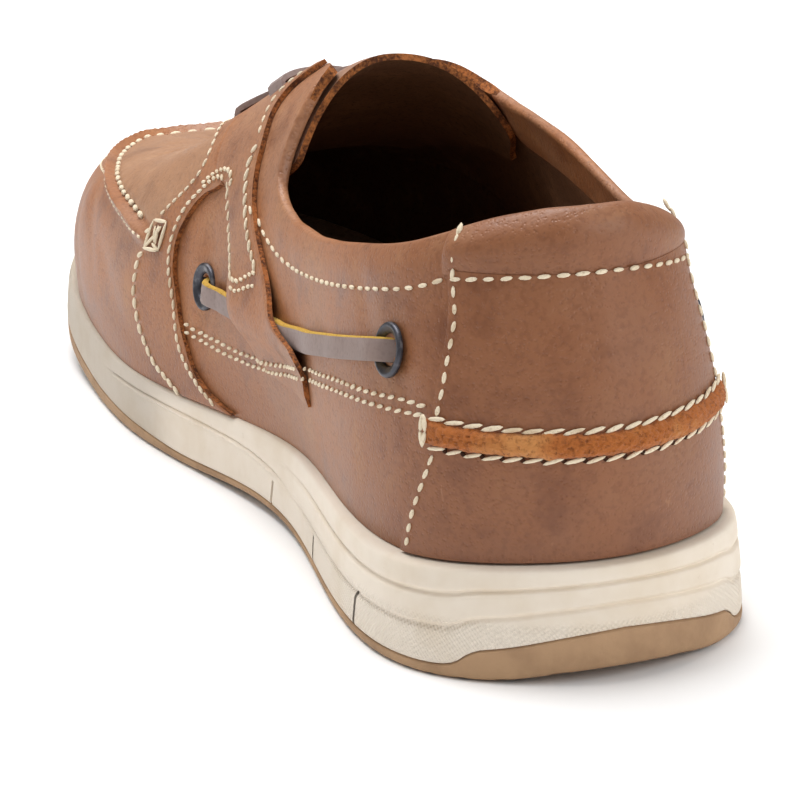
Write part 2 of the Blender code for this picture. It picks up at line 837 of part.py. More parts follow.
def punch(name, place, radius, cutters):
    """Cutter of one round hole through the leather."""
    profile = ((EYELET_RADIUS, 0.0), (EYELET_RADIUS, radius), (-EYELET_RADIUS, radius), (-EYELET_RADIUS, 0.0))
    return turned(name, place, profile, False, None, cutters)


def punches(cutters):
    """Cutters of the eyelets' holes, and of the holes beside the throat."""
    eyelets = [punch(f"hole_{name}", place, EYELET_HOLE, cutters) for name, place in eyelet_places()]
    throat = []
    for side, word in ((-1, "inner"), (1, "outer")):
        for spot, (turn, rise) in (("front", THROAT_FRONT), ("rear", THROAT_REAR)):
            throat.append(punch(f"hole_{word}_throat_{spot}", (side * turn, rise), THROAT_HOLE, cutters))
    return eyelets, throat


def patch(name, turns, rises, lift, thickness, material, parts, keep=None):
    """Sheet laid on the upper, lifted by a distance that may change over it."""
    turns, rises = np.broadcast_arrays(turns, rises)
    low = relief(turns, rises) + SEAT_GAP + lift
    if keep is None:
        keep = np.ones((turns.shape[0] - 1, turns.shape[1] - 1), bool)
    outer, inner = offset(turns, rises, low + thickness), offset(turns, rises, low)
    return shell(name, outer, inner, keep, material, parts)


def lace_rise(turn):
    """Rise of the side lace along its run."""
    part = (np.abs(turn) - EYELET_REAR[0]) / (EYELET_FRONT[0] - EYELET_REAR[0])
    straight = EYELET_REAR[1] + (EYELET_FRONT[1] - EYELET_REAR[1]) * part
    return straight - LACE_SAG * np.sin(pi * np.clip(part, 0, 1)**LACE_SKEW)


def build_saddles(parts, materials, holes):
    """Saddle on each side: a wing, the eyelet stay above it and a strap over the lace."""
    table = np.array(SADDLE)
    rises = table[:, :1]
    shares = np.arange(1, SADDLE_STEPS + 1) / SADDLE_STEPS
    columns = [rises * 0 + table[:, 1:2]]
    columns += [table[:, i:i + 1] * (1 - shares) + table[:, i + 1:i + 2] * shares for i in (1, 2, 3)]
    turn_grid = np.concatenate(columns, 1)
    rises = np.broadcast_to(rises, turn_grid.shape)
    keep = np.ones((turn_grid.shape[0] - 1, turn_grid.shape[1] - 1), bool)
    keep[:WING_TOP, SADDLE_STEPS:2 * SADDLE_STEPS] = False
    keep[:STRAP_START, 2 * SADDLE_STEPS:] = False
    back = np.linspace(0, 1, SADDLE_STEPS + 1)[1:] * OUTER_CORNER * ramp(rises[:, -1:], 0.60, 0.80)
    for side, word in ((-1, "inner"), (1, "outer")):
        turns = side * turn_grid
        if side > 0:
            turns[:, 2 * SADDLE_STEPS + 1:] += back
        bulge = np.exp(-((rises - lace_rise(turns)) / STRAP_SPREAD)**2)
        strap = 1 - ramp(turn_grid, STRAP_FRONT, WING_REAR)
        saddle = patch(f"saddle_{word}", turns, rises, STRAP_COVER * bulge * strap,
                       PANEL_THICKNESS, materials["leather"], parts, keep)
        for hole in holes:
            if word in hole.name:
                cut(saddle, hole)


def build_heel(parts, materials):
    """Heel panel, padded band above it and the raised tape across it."""
    shares = np.linspace(-1, 1, HEEL_COLUMNS)
    rises = np.array([row[0] for row in HEEL_SEAM[:-1]] + [PANEL_TOP])[:, None]
    patch("heel_panel", smooth(HEEL_SEAM, 1, rises) * shares, rises, 0.0, PANEL_THICKNESS,
          materials["leather"], parts)

    up = np.array(BAND_ROWS)[:, None]
    turns = BAND_TURN * shares
    rises = BAND_LOW + (edge_rise(turns) - BAND_MARGIN - BAND_LOW) * up
    puff = np.sin(pi * (0.08 + 0.84 * up))
    patch("collar_band", np.broadcast_to(turns, rises.shape), rises, 0.0,
          BAND_EDGE + (BAND_THICKNESS - BAND_EDGE) * puff, materials["leather"], parts)

    across = np.array(TAPE_ROWS)[:, None]
    rises = TAPE_RISE + TAPE_HALF * across + TAPE_TIP * (shares**2 - 0.3)
    patch("heel_tape", np.broadcast_to(TAPE_TURN * shares, rises.shape), rises,
          PANEL_THICKNESS + GAP, TAPE_THICKNESS * (1 - np.abs(across)**3 / 2),
          materials["tape"], parts)


def build_tongue(parts, materials):
    """Tongue under the throat, bent over the instep."""
    around = np.linspace(-1, 1, TONGUE_COLUMNS)
    side = np.where(around < 0, -1.0, 1.0)
    down = np.linspace(0, 1, TONGUE_ROWS)[:, None]
    rear = TONGUE_REAR + TONGUE_SWEEP * around**2
    distance = LENGTH * (rear + (TONGUE_FRONT - rear) * down)
    rises = 1 - np.abs(around) * (1 - TONGUE_SIDE) * (1 - TONGUE_TAPER * down)
    turns = turn_at(distance, rises, side)
    under = WALL_THICKNESS + TONGUE_GAP
    sheets = [offset(turns, rises, -depth) for depth in (under, under + TONGUE_THICKNESS)]
    keep = np.ones((TONGUE_ROWS - 1, TONGUE_COLUMNS - 1), bool)
    shell("tongue", *sheets, keep, materials["leather"], parts)


def strip(name, turn, rise, away, material, collection):
    """Flat lace along a path on the last."""
    path, normal = offset(turn, rise, away), last_normal(turn, rise)
    across = np.cross(normal, np.gradient(path, axis=0))
    across = across / np.linalg.norm(across, axis=1, keepdims=True) * LACE_WIDTH / 2
    up = normal * LACE_THICKNESS
    ring = np.stack([path - across, path + across, path + across + up, path - across + up], 1)
    count = len(path)
    faces = [(0, 1, 2, 3), tuple(4 * (count - 1) + corner for corner in (3, 2, 1, 0))]
    for start in range(0, 4 * (count - 1), 4):
        for corner in range(4):
            ahead = (corner + 1) % 4
            faces.append((start + corner, start + ahead, start + 4 + ahead, start + 4 + corner))
    return new_object(name, ring.reshape(-1, 3), faces, material, collection)


def build_laces(parts, cutters, materials):
    """Side laces between their eyelets, and the lace over the throat."""
    over = EYELET_SAG + EYELET_LIP + 2 * GAP
    share = np.linspace(0, 1, SIDE_LACE_STEPS)
    ends = 1 - ramp(share, 0.05, 0.13) * ramp(1 - share, 0.05, 0.13)
    for side, word in ((-1, "inner"), (1, "outer")):
        turn = side * (EYELET_FRONT[0] + (EYELET_REAR[0] - EYELET_FRONT[0]) * share)
        strip(f"side_lace_{word}", turn, lace_rise(turn), GAP + (over - GAP) * ends,
              materials["lace"], parts)

    base = SEAT_GAP + PANEL_THICKNESS + SEAT_GAP
    share = np.linspace(-1, 1, THROAT_LACE_STEPS)
    side = np.where(share < 0, -1.0, 1.0)
    rise = 1 - np.abs(share) * (1 - THROAT_FRONT[1])
    front = [last(sign * THROAT_FRONT[0], THROAT_FRONT[1])[1] for sign in (-1, 1)]
    rear = [last(sign * THROAT_REAR[0], THROAT_REAR[1])[1] for sign in (-1, 1)]
    runs = (("throat_lace", front), ("cross_one", (front[0], rear[1])), ("cross_two", (rear[0], front[1])))
    strips = []
    for level, (name, (start, end)) in enumerate(runs):
        turn = turn_at(start + (end - start) * (share + 1) / 2, rise, side)
        strips.append(strip(name, turn, rise, np.full_like(share, base + level * LACE_STEP),
                            materials["lace"], cutters if level else parts))
    for other in strips[1:]:
        boolean(strips[0], other, "UNION")


def centre(parts, cutters):
    """Move the shoe so that the middle of its outline stands at the origin."""
    plan = outline(ring_turns())
    middle = (plan.min(0) + plan.max(0)) / 2
    anchor = bpy.data.objects.new("shoe_centre", None)
    anchor.location = (-middle[0], -middle[1], 0.0)
    for thing in list(parts.objects) + list(cutters.objects):
        thing.parent = anchor
    parts.objects.link(anchor)


def main():
    """Build every part of the shoe."""
    for thing in list(bpy.data.objects):
        bpy.data.objects.remove(thing, do_unlink=True)
    parts = bpy.data.collections.new("boat_shoe")
    cutters = bpy.data.collections.new("cutters")
    bpy.context.scene.collection.children.link(parts)
    bpy.context.scene.collection.children.link(cutters)
    materials = {name: new_material(name, *values) for name, values in FINISHES.items()}
    build_sole(parts, cutters, materials)
    eyelet_holes, throat_holes = punches(cutters)
    build_upper(parts, materials, eyelet_holes + throat_holes)
    build_saddles(parts, materials, throat_holes)
    build_eyelets(parts, materials)
    build_heel(parts, materials)
    build_tongue(parts, materials)
    build_laces(parts, cutters, materials)
    centre(parts, cutters)


main()
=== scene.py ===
"""Right boat shoe in oiled brown leather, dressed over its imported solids."""
import logging
from dataclasses import dataclass, field
from enum import Enum
from math import cos, pi, sin
from typing import Iterable, Optional, Sequence, Union

import bpy
import numpy as np
from mathutils import Matrix


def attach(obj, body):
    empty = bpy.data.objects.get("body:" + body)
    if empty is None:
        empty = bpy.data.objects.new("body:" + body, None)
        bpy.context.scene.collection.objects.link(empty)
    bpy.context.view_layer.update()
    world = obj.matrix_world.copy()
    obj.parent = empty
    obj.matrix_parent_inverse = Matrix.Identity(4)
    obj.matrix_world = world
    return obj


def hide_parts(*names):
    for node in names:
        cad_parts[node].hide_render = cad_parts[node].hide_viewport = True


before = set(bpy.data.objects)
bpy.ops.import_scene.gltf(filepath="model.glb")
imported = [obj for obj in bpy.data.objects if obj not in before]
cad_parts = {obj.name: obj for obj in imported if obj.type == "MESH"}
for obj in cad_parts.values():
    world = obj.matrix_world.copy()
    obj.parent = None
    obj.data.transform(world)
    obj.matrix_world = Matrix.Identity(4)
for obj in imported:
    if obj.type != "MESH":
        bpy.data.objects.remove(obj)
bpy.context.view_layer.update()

LOG = logging.getLogger("boat_shoe")
Array = np.ndarray
Table = Sequence[Sequence[float]]


class Side(Enum):
    """Side of the foot that a piece lies on."""

    INNER = -1
    OUTER = 1

    @property
    def word(self) -> str:
        """Name of the side as the solids use it."""
        return self.name.lower()


class Lay(Enum):
    """How the stitches of a row lie, as their slant in radians."""

    RUN = 0.06
    ROPE = 0.50
    TWIST = 0.24
    BACK = -0.25


def ring_curve(values: Sequence[float], place: Array) -> Array:
    """Run a smooth closed curve through evenly spaced values.

    Args:
        values: The values, once round.
        place: Where to read the curve, counted in values.

    Returns:
        The curve at each place.
    """
    knots = np.asarray(values, float)
    count = len(knots)
    before, after = np.roll(knots, 1), np.roll(knots, -1)
    system = 4 * np.eye(count) + np.roll(np.eye(count), 1, 0) + np.roll(np.eye(count), -1, 0)
    bend = np.linalg.solve(system, 6 * (before - 2 * knots + after))
    place = np.mod(np.asarray(place, float), count)
    low = np.floor(place).astype(int) % count
    high = (low + 1) % count
    part = place - np.floor(place)
    rest = 1 - part
    straight = knots[low] * rest + knots[high] * part
    return straight + ((rest**3 - rest) * bend[low] + (part**3 - part) * bend[high]) / 6


def smooth(table: Table, column: int, place: Array) -> Array:
    """Run a smooth open curve through one column of a table.

    Args:
        table: Rows of numbers, with the places first.
        column: Which number of each row to follow.
        place: Where to read the curve.

    Returns:
        The curve at each place, held at the table's ends.
    """
    rows = np.array(table, float)
    knots, values = rows[:, 0], rows[:, column]
    count = len(knots)
    step = np.diff(knots)
    system, load = np.eye(count), np.zeros(count)
    for i in range(1, count - 1):
        system[i, i - 1:i + 2] = step[i - 1], 2 * (step[i - 1] + step[i]), step[i]
        load[i] = 6 * ((values[i + 1] - values[i]) / step[i] - (values[i] - values[i - 1]) / step[i - 1])
    bend = np.linalg.solve(system, load)
    place = np.clip(np.asarray(place, float), knots[0], knots[-1])
    low = np.clip(np.searchsorted(knots, place, side="right") - 1, 0, count - 2)
    gap = step[low]
    left, right = (knots[low + 1] - place) / gap, (place - knots[low]) / gap
    curve = (left**3 - left) * bend[low] + (right**3 - right) * bend[low + 1]
    return left * values[low] + right * values[low + 1] + curve * gap**2 / 6


def eased(table: Table, column: int, place: Array) -> Array:
    """Run a curve through one column of a table that never swings past a knot.

    Args:
        table: Rows of numbers, with the places first.
        column: Which number of each row to follow.
        place: Where to read the curve.

    Returns:
        The curve at each place, held at the table's ends.
    """
    rows = np.array(table, float)
    knots, values = rows[:, 0], rows[:, column]
    step = np.diff(knots)
    slope = np.diff(values) / step
    turn = np.zeros(len(knots))
    product = slope[:-1] * slope[1:]
    total = np.where(np.abs(slope[:-1] + slope[1:]) < 1e-12, 1.0, slope[:-1] + slope[1:])
    turn[1:-1] = np.where(product > 0, 2 * product / total, 0.0)
    turn[0], turn[-1] = slope[0], slope[-1]
    place = np.clip(np.asarray(place, float), knots[0], knots[-1])
    low = np.clip(np.searchsorted(knots, place, side="right") - 1, 0, len(knots) - 2)
    gap = step[low]
    part = (place - knots[low]) / gap
    flat = part * part * (3 - 2 * part)
    start = part * (1 - part)**2 * turn[low] * gap
    end = part * part * (part - 1) * turn[low + 1] * gap
    return values[low] + (values[low + 1] - values[low]) * flat + start + end


def ramp(value: Array, low: float, high: float) -> Array:
    """Rise smoothly from 0 at one value to 1 at another."""
    part = np.clip((np.asarray(value, float) - low) / (high - low), 0, 1)
    return part * part * (3 - 2 * part)


def hump(value: Array, shape: Sequence[float]) -> Array:
    """Bell of a value, from its centre, width and height."""
    centre, width, height = shape
    return height * np.exp(-((value - centre) / width)**2)


@dataclass(frozen=True)
class Dent:
    """Soft trough in the leather.

    A place is a turn, negative on the inner side, and a rise; the sizes are metres.
    """

    turn: float
    rise: float
    length: float
    width: float
    depth: float
    slant: float = 0.0


@dataclass(frozen=True)
class Last:
    """Form that the shoe is built on, and the places on it.

    A turn goes from 0 at the heel to 1 at the toe, negative on the inner side. A rise goes from
    0 at the line where the upper meets the sole to 1 at the crest.
    """

    length: float = 0.300
    half: float = 0.0967 / 2
    sole_height: float = 0.0224
    instep_height: float = 0.100
    toe_spring: float = 0.015
    plan: Table = (
        (0.000, 0.000), (-0.362, 0.362), (-0.683, 0.672), (-0.778, 0.776), (-0.709, 0.786),
        (-0.633, 0.869), (-0.728, 1.034), (-0.852, 1.148), (-0.848, 1.096), (-0.800, 0.950),
        (-0.655, 0.690), (-0.420, 0.340), (-0.040, -0.040),
    )
    feather_table: Table = (
        (0.00, 1.000, 0.062), (0.10, 0.925, 0.068), (0.20, 0.924, 0.064), (0.35, 0.826, 0.052),
        (0.50, 0.719, 0.039), (0.65, 0.661, 0.033), (0.80, 0.746, 0.041), (0.90, 0.915, 0.070),
        (1.00, 1.138, 0.076),
    )
    crest_table: Table = (
        (0.00, 1.060, 0.000), (0.15, 1.060, 0.000), (0.25, 1.055, 0.000), (0.35, 1.030, 0.041),
        (0.43, 0.975, 0.062), (0.50, 0.885, 0.052), (0.56, 0.785, 0.036), (0.63, 0.680, 0.016),
        (0.70, 0.605, -0.004), (0.76, 0.566, -0.030), (0.82, 0.543, -0.040), (0.90, 0.520, -0.045),
        (1.00, 0.460, -0.050),
    )
    crest_span: Sequence[float] = (0.085, 0.800)
    wall: Table = (
        (0.00, 0.062, 0.42, 0.66, 0.062, 0.42, 0.66), (0.15, 0.072, 0.42, 0.66, 0.072, 0.42, 0.66),
        (0.30, 0.145, 0.45, 0.62, 0.124, 0.45, 0.66), (0.42, 0.124, 0.46, 0.60, 0.103, 0.48, 0.64),
        (0.52, 0.041, 0.50, 0.58, 0.041, 0.52, 0.64), (0.63, 0.052, 0.62, 0.62, 0.052, 0.62, 0.66),
        (0.75, 0.093, 0.78, 0.66, 0.083, 0.78, 0.70), (0.87, 0.070, 0.86, 0.62, 0.093, 0.86, 0.64),
        (1.00, 0.062, 0.86, 0.55, 0.062, 0.86, 0.55),
    )
    edge: Table = (
        (0.000, 0.605, 0.605), (0.057, 0.603, 0.600), (0.103, 0.590, 0.579), (0.170, 0.547, 0.525),
        (0.218, 0.509, 0.495), (0.284, 0.462, 0.480), (0.337, 0.426, 0.520), (0.374, 0.411, 0.551),
        (0.403, 0.412, 0.568), (0.423, 0.426, 0.580), (0.445, 0.467, 0.596), (0.455, 0.535, 0.612),
        (0.465, 0.680, 0.630), (0.480, 0.800, 0.670), (0.500, 0.830, 0.770), (0.515, 0.838, 0.822),
        (0.550, 0.850, 0.850), (0.680, 0.860, 0.860), (1.000, 0.880, 0.880),
    )
    seam: Table = (
        (0.000, 0.380), (0.300, 0.300), (0.560, 0.310), (0.594, 0.346), (0.614, 0.373),
        (0.658, 0.420), (0.709, 0.475), (0.748, 0.505), (0.795, 0.535), (0.830, 0.555),
        (0.880, 0.580), (0.940, 0.595), (1.000, 0.600),
    )
    rim: Table = (
        (0.000, 0.335), (0.040, 0.317), (0.080, 0.295), (0.105, 0.278), (0.118, 0.262),
        (0.128, 0.215), (0.138, 0.140), (0.150, 0.115), (0.170, 0.105), (0.250, 0.100), (0.350, 0.090),
        (0.450, 0.085), (0.520, 0.100), (0.580, 0.143), (0.650, 0.170), (0.800, 0.190),
        (1.000, 0.220),
    )
    ground_table: Table = (
        (0.00, 0.180), (0.03, 0.025), (0.06, 0.000), (0.27, 0.000), (0.42, 0.100), (0.56, 0.000),
        (0.72, 0.000), (0.80, 0.130), (0.90, 0.480), (1.00, 1.000),
    )
    throat_end: float = 0.680
    throat_square: float = 0.034
    columns: Sequence[float] = (
        0.035, 0.070, 0.105, 0.140, 0.175, 0.215, 0.255, 0.295, 0.335, 0.370, 0.405, 0.430, 0.445, 0.457,
        0.470, 0.490, 0.515, 0.545, 0.575, 0.605, 0.640, 0.680, 0.720, 0.765, 0.810, 0.860, 0.910, 0.960,
        1.000,
    )
    seam_limit: float = 0.80
    ridge: Sequence[float] = (-0.032, 0.016, 0.0020)
    groove: Sequence[float] = (0.0, 0.010, 0.0006)
    swell: Sequence[float] = (-0.045, 0.040, 0.0008)
    apron_span: Sequence[float] = (0.560, 0.610)
    swell_span: Sequence[float] = (0.40, 0.47)
    heel_sink: float = 0.0015
    heel_span: Sequence[float] = (0.162, 0.320)
    gather_count: int = 23
    gather_start: float = 0.594
    gather: Sequence[float] = (-0.026, 0.030, 0.00014)
    plug: Sequence[float] = (0.022, 0.016, 0.00012)
    gather_span: Sequence[float] = (0.58, 0.62)
    waves: Table = ((0.00022, 31, 4, 9, 12), (0.00012, 58, -7, 17, 21))
    wave_span: Sequence[float] = (0.02, 0.10)
    lace_span: Table = ((0.510, 0.232), (0.220, 0.325))
    lace_sag: float = 0.055
    dents: Sequence[Dent] = (
        Dent(-0.513, 0.316, 0.0050, 0.0026, 0.0009, 1.45),
        Dent(-0.508, 0.168, 0.0060, 0.0030, 0.0008, 1.50),
        Dent(-0.535, 0.222, 0.0060, 0.0022, 0.0004, 1.30),
        Dent(-0.488, 0.190, 0.0070, 0.0020, 0.0004, 1.90),
        Dent(0.513, 0.316, 0.0050, 0.0026, 0.0009, 1.45),
        Dent(0.508, 0.168, 0.0060, 0.0030, 0.0008, 1.50),
        Dent(-0.640, 0.180, 0.0160, 0.0035, 0.0006, 0.45),
        Dent(-0.690, 0.260, 0.0140, 0.0030, 0.0005, 0.70),
        Dent(-0.735, 0.180, 0.0150, 0.0030, 0.0005, 0.90),
        Dent(-0.610, 0.090, 0.0160, 0.0030, 0.0004, 0.20),
        Dent(0.640, 0.200, 0.0160, 0.0035, 0.0006, 0.50),
        Dent(0.700, 0.250, 0.0150, 0.0030, 0.0005, 0.80),
        Dent(0.740, 0.170, 0.0140, 0.0030, 0.0004, 1.00),
        Dent(-0.700, 0.720, 0.0120, 0.0030, 0.0004, 1.50),
        Dent(-0.760, 0.780, 0.0140, 0.0035, 0.0005, 1.40),
        Dent(0.720, 0.750, 0.0140, 0.0032, 0.0005, 1.60),
        Dent(-0.330, 0.260, 0.0180, 0.0045, 0.0005, 0.30),
        Dent(-0.290, 0.140, 0.0200, 0.0050, 0.0004, -0.20),
        Dent(-0.400, 0.180, 0.0140, 0.0040, 0.0004, 0.60),
        Dent(-0.260, 0.360, 0.0160, 0.0040, 0.0004, 0.80),
        Dent(-0.200, 0.280, 0.0140, 0.0036, 0.0004, 1.20),
        Dent(0.330, 0.280, 0.0180, 0.0045, 0.0005, 0.30),
        Dent(0.250, 0.180, 0.0180, 0.0045, 0.0004, -0.20),
        Dent(-0.400, 0.330, 0.0150, 0.0035, 0.0004, 0.95),
    )

    def along(self, turn: Array) -> Array:
        """Distance from the heel."""
        return self.length / 2 * (1 - np.cos(pi * np.asarray(turn, float)))

    def outline(self, turn: Array) -> Array:
        """Point of the sole's outline."""
        inner = [row[0] for row in self.plan[-2:0:-1]]
        outer = [row[1] for row in self.plan]
        across = ring_curve(outer + inner, np.asarray(turn, float) * (len(self.plan) - 1)) * self.half
        return np.stack([across, self.along(turn)], -1)

    def outward(self, turn: Array) -> Array:
        """Level direction that points out of the outline."""
        small = 1e-4
        turn = np.asarray(turn, float)
        move = self.outline(turn + small) - self.outline(turn - small)
        normal = np.stack([move[..., 1], -move[..., 0]], -1)
        return normal / np.linalg.norm(normal, axis=-1, keepdims=True)

    def feather(self, turn: Array) -> Array:
        """Point where the upper meets the sole."""
        share = self.along(turn) / self.length
        inset = smooth(self.feather_table, 2, share) * self.half
        plan = self.outline(turn) - self.outward(turn) * inset[..., None]
        height = smooth(self.feather_table, 1, share) * self.sole_height
        return np.concatenate([plan, height[..., None]], -1)

    def crest(self, turn: Array) -> Array:
        """Point of the crest."""
        start, end = self.crest_span
        share = start + (end - start) * (1 - np.cos(pi * np.asarray(turn, float))) / 2
        height = smooth(self.crest_table, 1, share) * self.instep_height
        shift = smooth(self.crest_table, 2, share) * self.half
        return np.stack([shift, share * self.length, height], -1)

    def point(self, turn: Array, rise: Array) -> Array:
        """Point on the last."""
        turn, rise = np.broadcast_arrays(np.asarray(turn, float), np.asarray(rise, float))
        share = self.along(turn) / self.length
        lean, upright, flat = (
            np.where(turn < 0, smooth(self.wall, column, share), smooth(self.wall, column + 3, share))
            for column in (1, 2, 3)
        )
        low, top = self.feather(turn), self.crest(turn)
        reach = top - low
        level = np.hypot(reach[..., 0], reach[..., 1])
        out = np.stack([-reach[..., 0] / level, -reach[..., 1] / level, np.zeros_like(level)], -1)
        upward = np.array([0.0, 0.0, 1.0]) * (reach[..., 2] * upright)[..., None]
        low_handle = low + out * (lean * self.half)[..., None] + upward
        top_handle = top + out * (level * flat)[..., None]
        share = top_handle[..., 1] / self.length
        top_handle[..., 2] = smooth(self.crest_table, 1, share) * self.instep_height
        rise = rise[..., None]
        back = 1 - rise
        return (back**3 * low + 3 * back**2 * rise * low_handle
                + 3 * back * rise**2 * top_handle + rise**3 * top)

    def normal(self, turn: Array, rise: Array) -> Array:
        """Outward direction of the last."""
        small = 1e-3
        turn, rise = np.broadcast_arrays(np.asarray(turn, float), np.asarray(rise, float))
        low, high = np.clip(rise - small, 0, 1 - 2 * small), np.clip(rise + small, 2 * small, 1)
        ahead = self.point(turn + small, rise) - self.point(turn - small, rise)
        above = self.point(turn, high) - self.point(turn, low)
        normal = np.cross(ahead, above)
        return normal / np.maximum(np.linalg.norm(normal, axis=-1, keepdims=True), 1e-12)

    def offset(self, turn: Array, rise: Array, away: Array) -> Array:
        """Point at a distance from the last."""
        return self.point(turn, rise) + self.normal(turn, rise) * np.asarray(away)[..., None]

    def turn_at(self, distance: Array, rise: Array, side: Array) -> Array:
        """Turn at a distance from the heel, on one side and at one rise."""
        low, high = np.zeros(np.shape(distance)), np.ones(np.shape(distance))
        for _ in range(24):
            middle = (low + high) / 2
            short = self.point(side * middle, rise)[..., 1] < distance
            low, high = np.where(short, middle, low), np.where(short, high, middle)
        return side * (low + high) / 2

    def edge_rise(self, turn: Array) -> Array:
        """Rise of the edge of the opening."""
        turn = np.asarray(turn, float)
        side = np.abs(turn)
        return np.where(turn < 0, eased(self.edge, 1, side), eased(self.edge, 2, side))

    def seam_rise(self, turn: Array) -> Array:
        """Rise of the seam round the apron."""
        return np.minimum(eased(self.seam, 1, np.abs(turn)), self.edge_rise(turn) * self.seam_limit)

    def ground(self, share: Array) -> Array:
        """Height of the ground side of the sole."""
        return eased(self.ground_table, 1, share) * self.toe_spring

    def midline(self, turn: Array) -> Array:
        """Middle of the sole below the crest."""
        top = self.crest(turn)
        place = self.turn_of(top[..., 1] / self.length)
        left, right = self.outline(-place), self.outline(place)
        return np.stack([(left[..., 0] + right[..., 0]) / 2, top[..., 1]], -1)

    def turn_of(self, share: Array) -> Array:
        """Turn at a share of the length."""
        return np.arccos(np.clip(1 - 2 * np.asarray(share, float), -1, 1)) / pi

    def ring(self, count: int) -> Array:
        """Turns all the way round, evenly spaced along the outline and the same on both sides.

        Args:
            count: How many steps each side takes.

        Returns:
            The turns from the toe over the inner side and the heel back to the toe.
        """
        fine = np.linspace(0, 1, 2001)
        steps = [np.linalg.norm(np.diff(self.outline(side * fine), axis=0), axis=1) for side in (-1, 1)]
        reach = np.concatenate([[0.0], np.cumsum((steps[0] + steps[1]) / 2)])
        half = np.interp(np.linspace(0, reach[-1], count + 1), reach, fine)
        return np.concatenate([-half[:0:-1], half])

    def middle(self) -> Array:
        """Middle of the outline, which stands at the origin."""
        side = np.array(self.columns)
        plan = self.outline(np.concatenate([-side, [0.0], side]))
        return np.append((plan.min(0) + plan.max(0)) / 2, 0.0)

    def relief(self, turn: Array, rise: Array) -> Array:
        """Height of the upper over the last: apron ridge, seam groove, collar swell and heel."""
        side = np.abs(turn)
        apart = rise - self.seam_rise(turn)
        apron = (hump(apart, self.ridge) - hump(apart, self.groove)) * ramp(side, *self.apron_span)
        collar = hump(rise - self.edge_rise(turn), self.swell) * (1 - ramp(side, *self.swell_span))
        return apron + collar - self.heel_sink * (1 - ramp(side, *self.heel_span))

    def wear(self, turn: Array, rise: Array) -> Array:
        """Height that use gives the leather: gathers at the apron, dents and slow waves."""
        side = np.abs(turn)
        apart = rise - self.seam_rise(turn)
        share = (side - self.gather_start) / (1 - self.gather_start)
        pull = np.cos(2 * pi * self.gather_count * share) * ramp(side, *self.gather_span)
        waves = sum(height * np.sin(first * side + second * rise) * np.sin(third * rise + fourth * side)
                    for height, first, second, third, fourth in self.waves)
        total = pull * (hump(apart, self.gather) + hump(apart, self.plug))
        total = total + waves * ramp(rise, *self.wave_span)
        for dent in self.dents:
            total = total - self.trough(dent, turn, rise)
        return total

    def trough(self, dent: Dent, turn: Array, rise: Array) -> Array:
        """Depth of one dent at each place."""
        ahead = pi / 2 * self.length * abs(sin(pi * dent.turn))
        ends = self.point(np.full(2, dent.turn), np.array([dent.rise - 0.01, dent.rise + 0.01]))
        above = float(np.linalg.norm(ends[1] - ends[0])) / 0.02
        level = (np.asarray(turn) - dent.turn) * ahead * np.sign(dent.turn)
        upright = (np.asarray(rise) - dent.rise) * above
        main = level * cos(dent.slant) + upright * sin(dent.slant)
        cross = upright * cos(dent.slant) - level * sin(dent.slant)
        return dent.depth * np.exp(-(main / dent.length)**2 - (cross / dent.width)**2)

    def skin(self, turn: Array, rise: Array) -> Array:
        """Height of the upper's worn outer face over the last."""
        turn, rise = np.broadcast_arrays(np.asarray(turn, float), np.asarray(rise, float))
        return self.relief(turn, rise) + self.wear(turn, rise)

    def lace_rise(self, turn: Array) -> Array:
        """Rise of the side lace along its run between its eyelets."""
        (front, front_rise), (rear, rear_rise) = self.lace_span
        part = (np.abs(turn) - rear) / (front - rear)
        straight = rear_rise + (front_rise - rear_rise) * part
        return straight - self.lace_sag * np.sin(pi * np.clip(part, 0, 1)**1.4)


LAST = Last()
ORIGIN = LAST.middle()


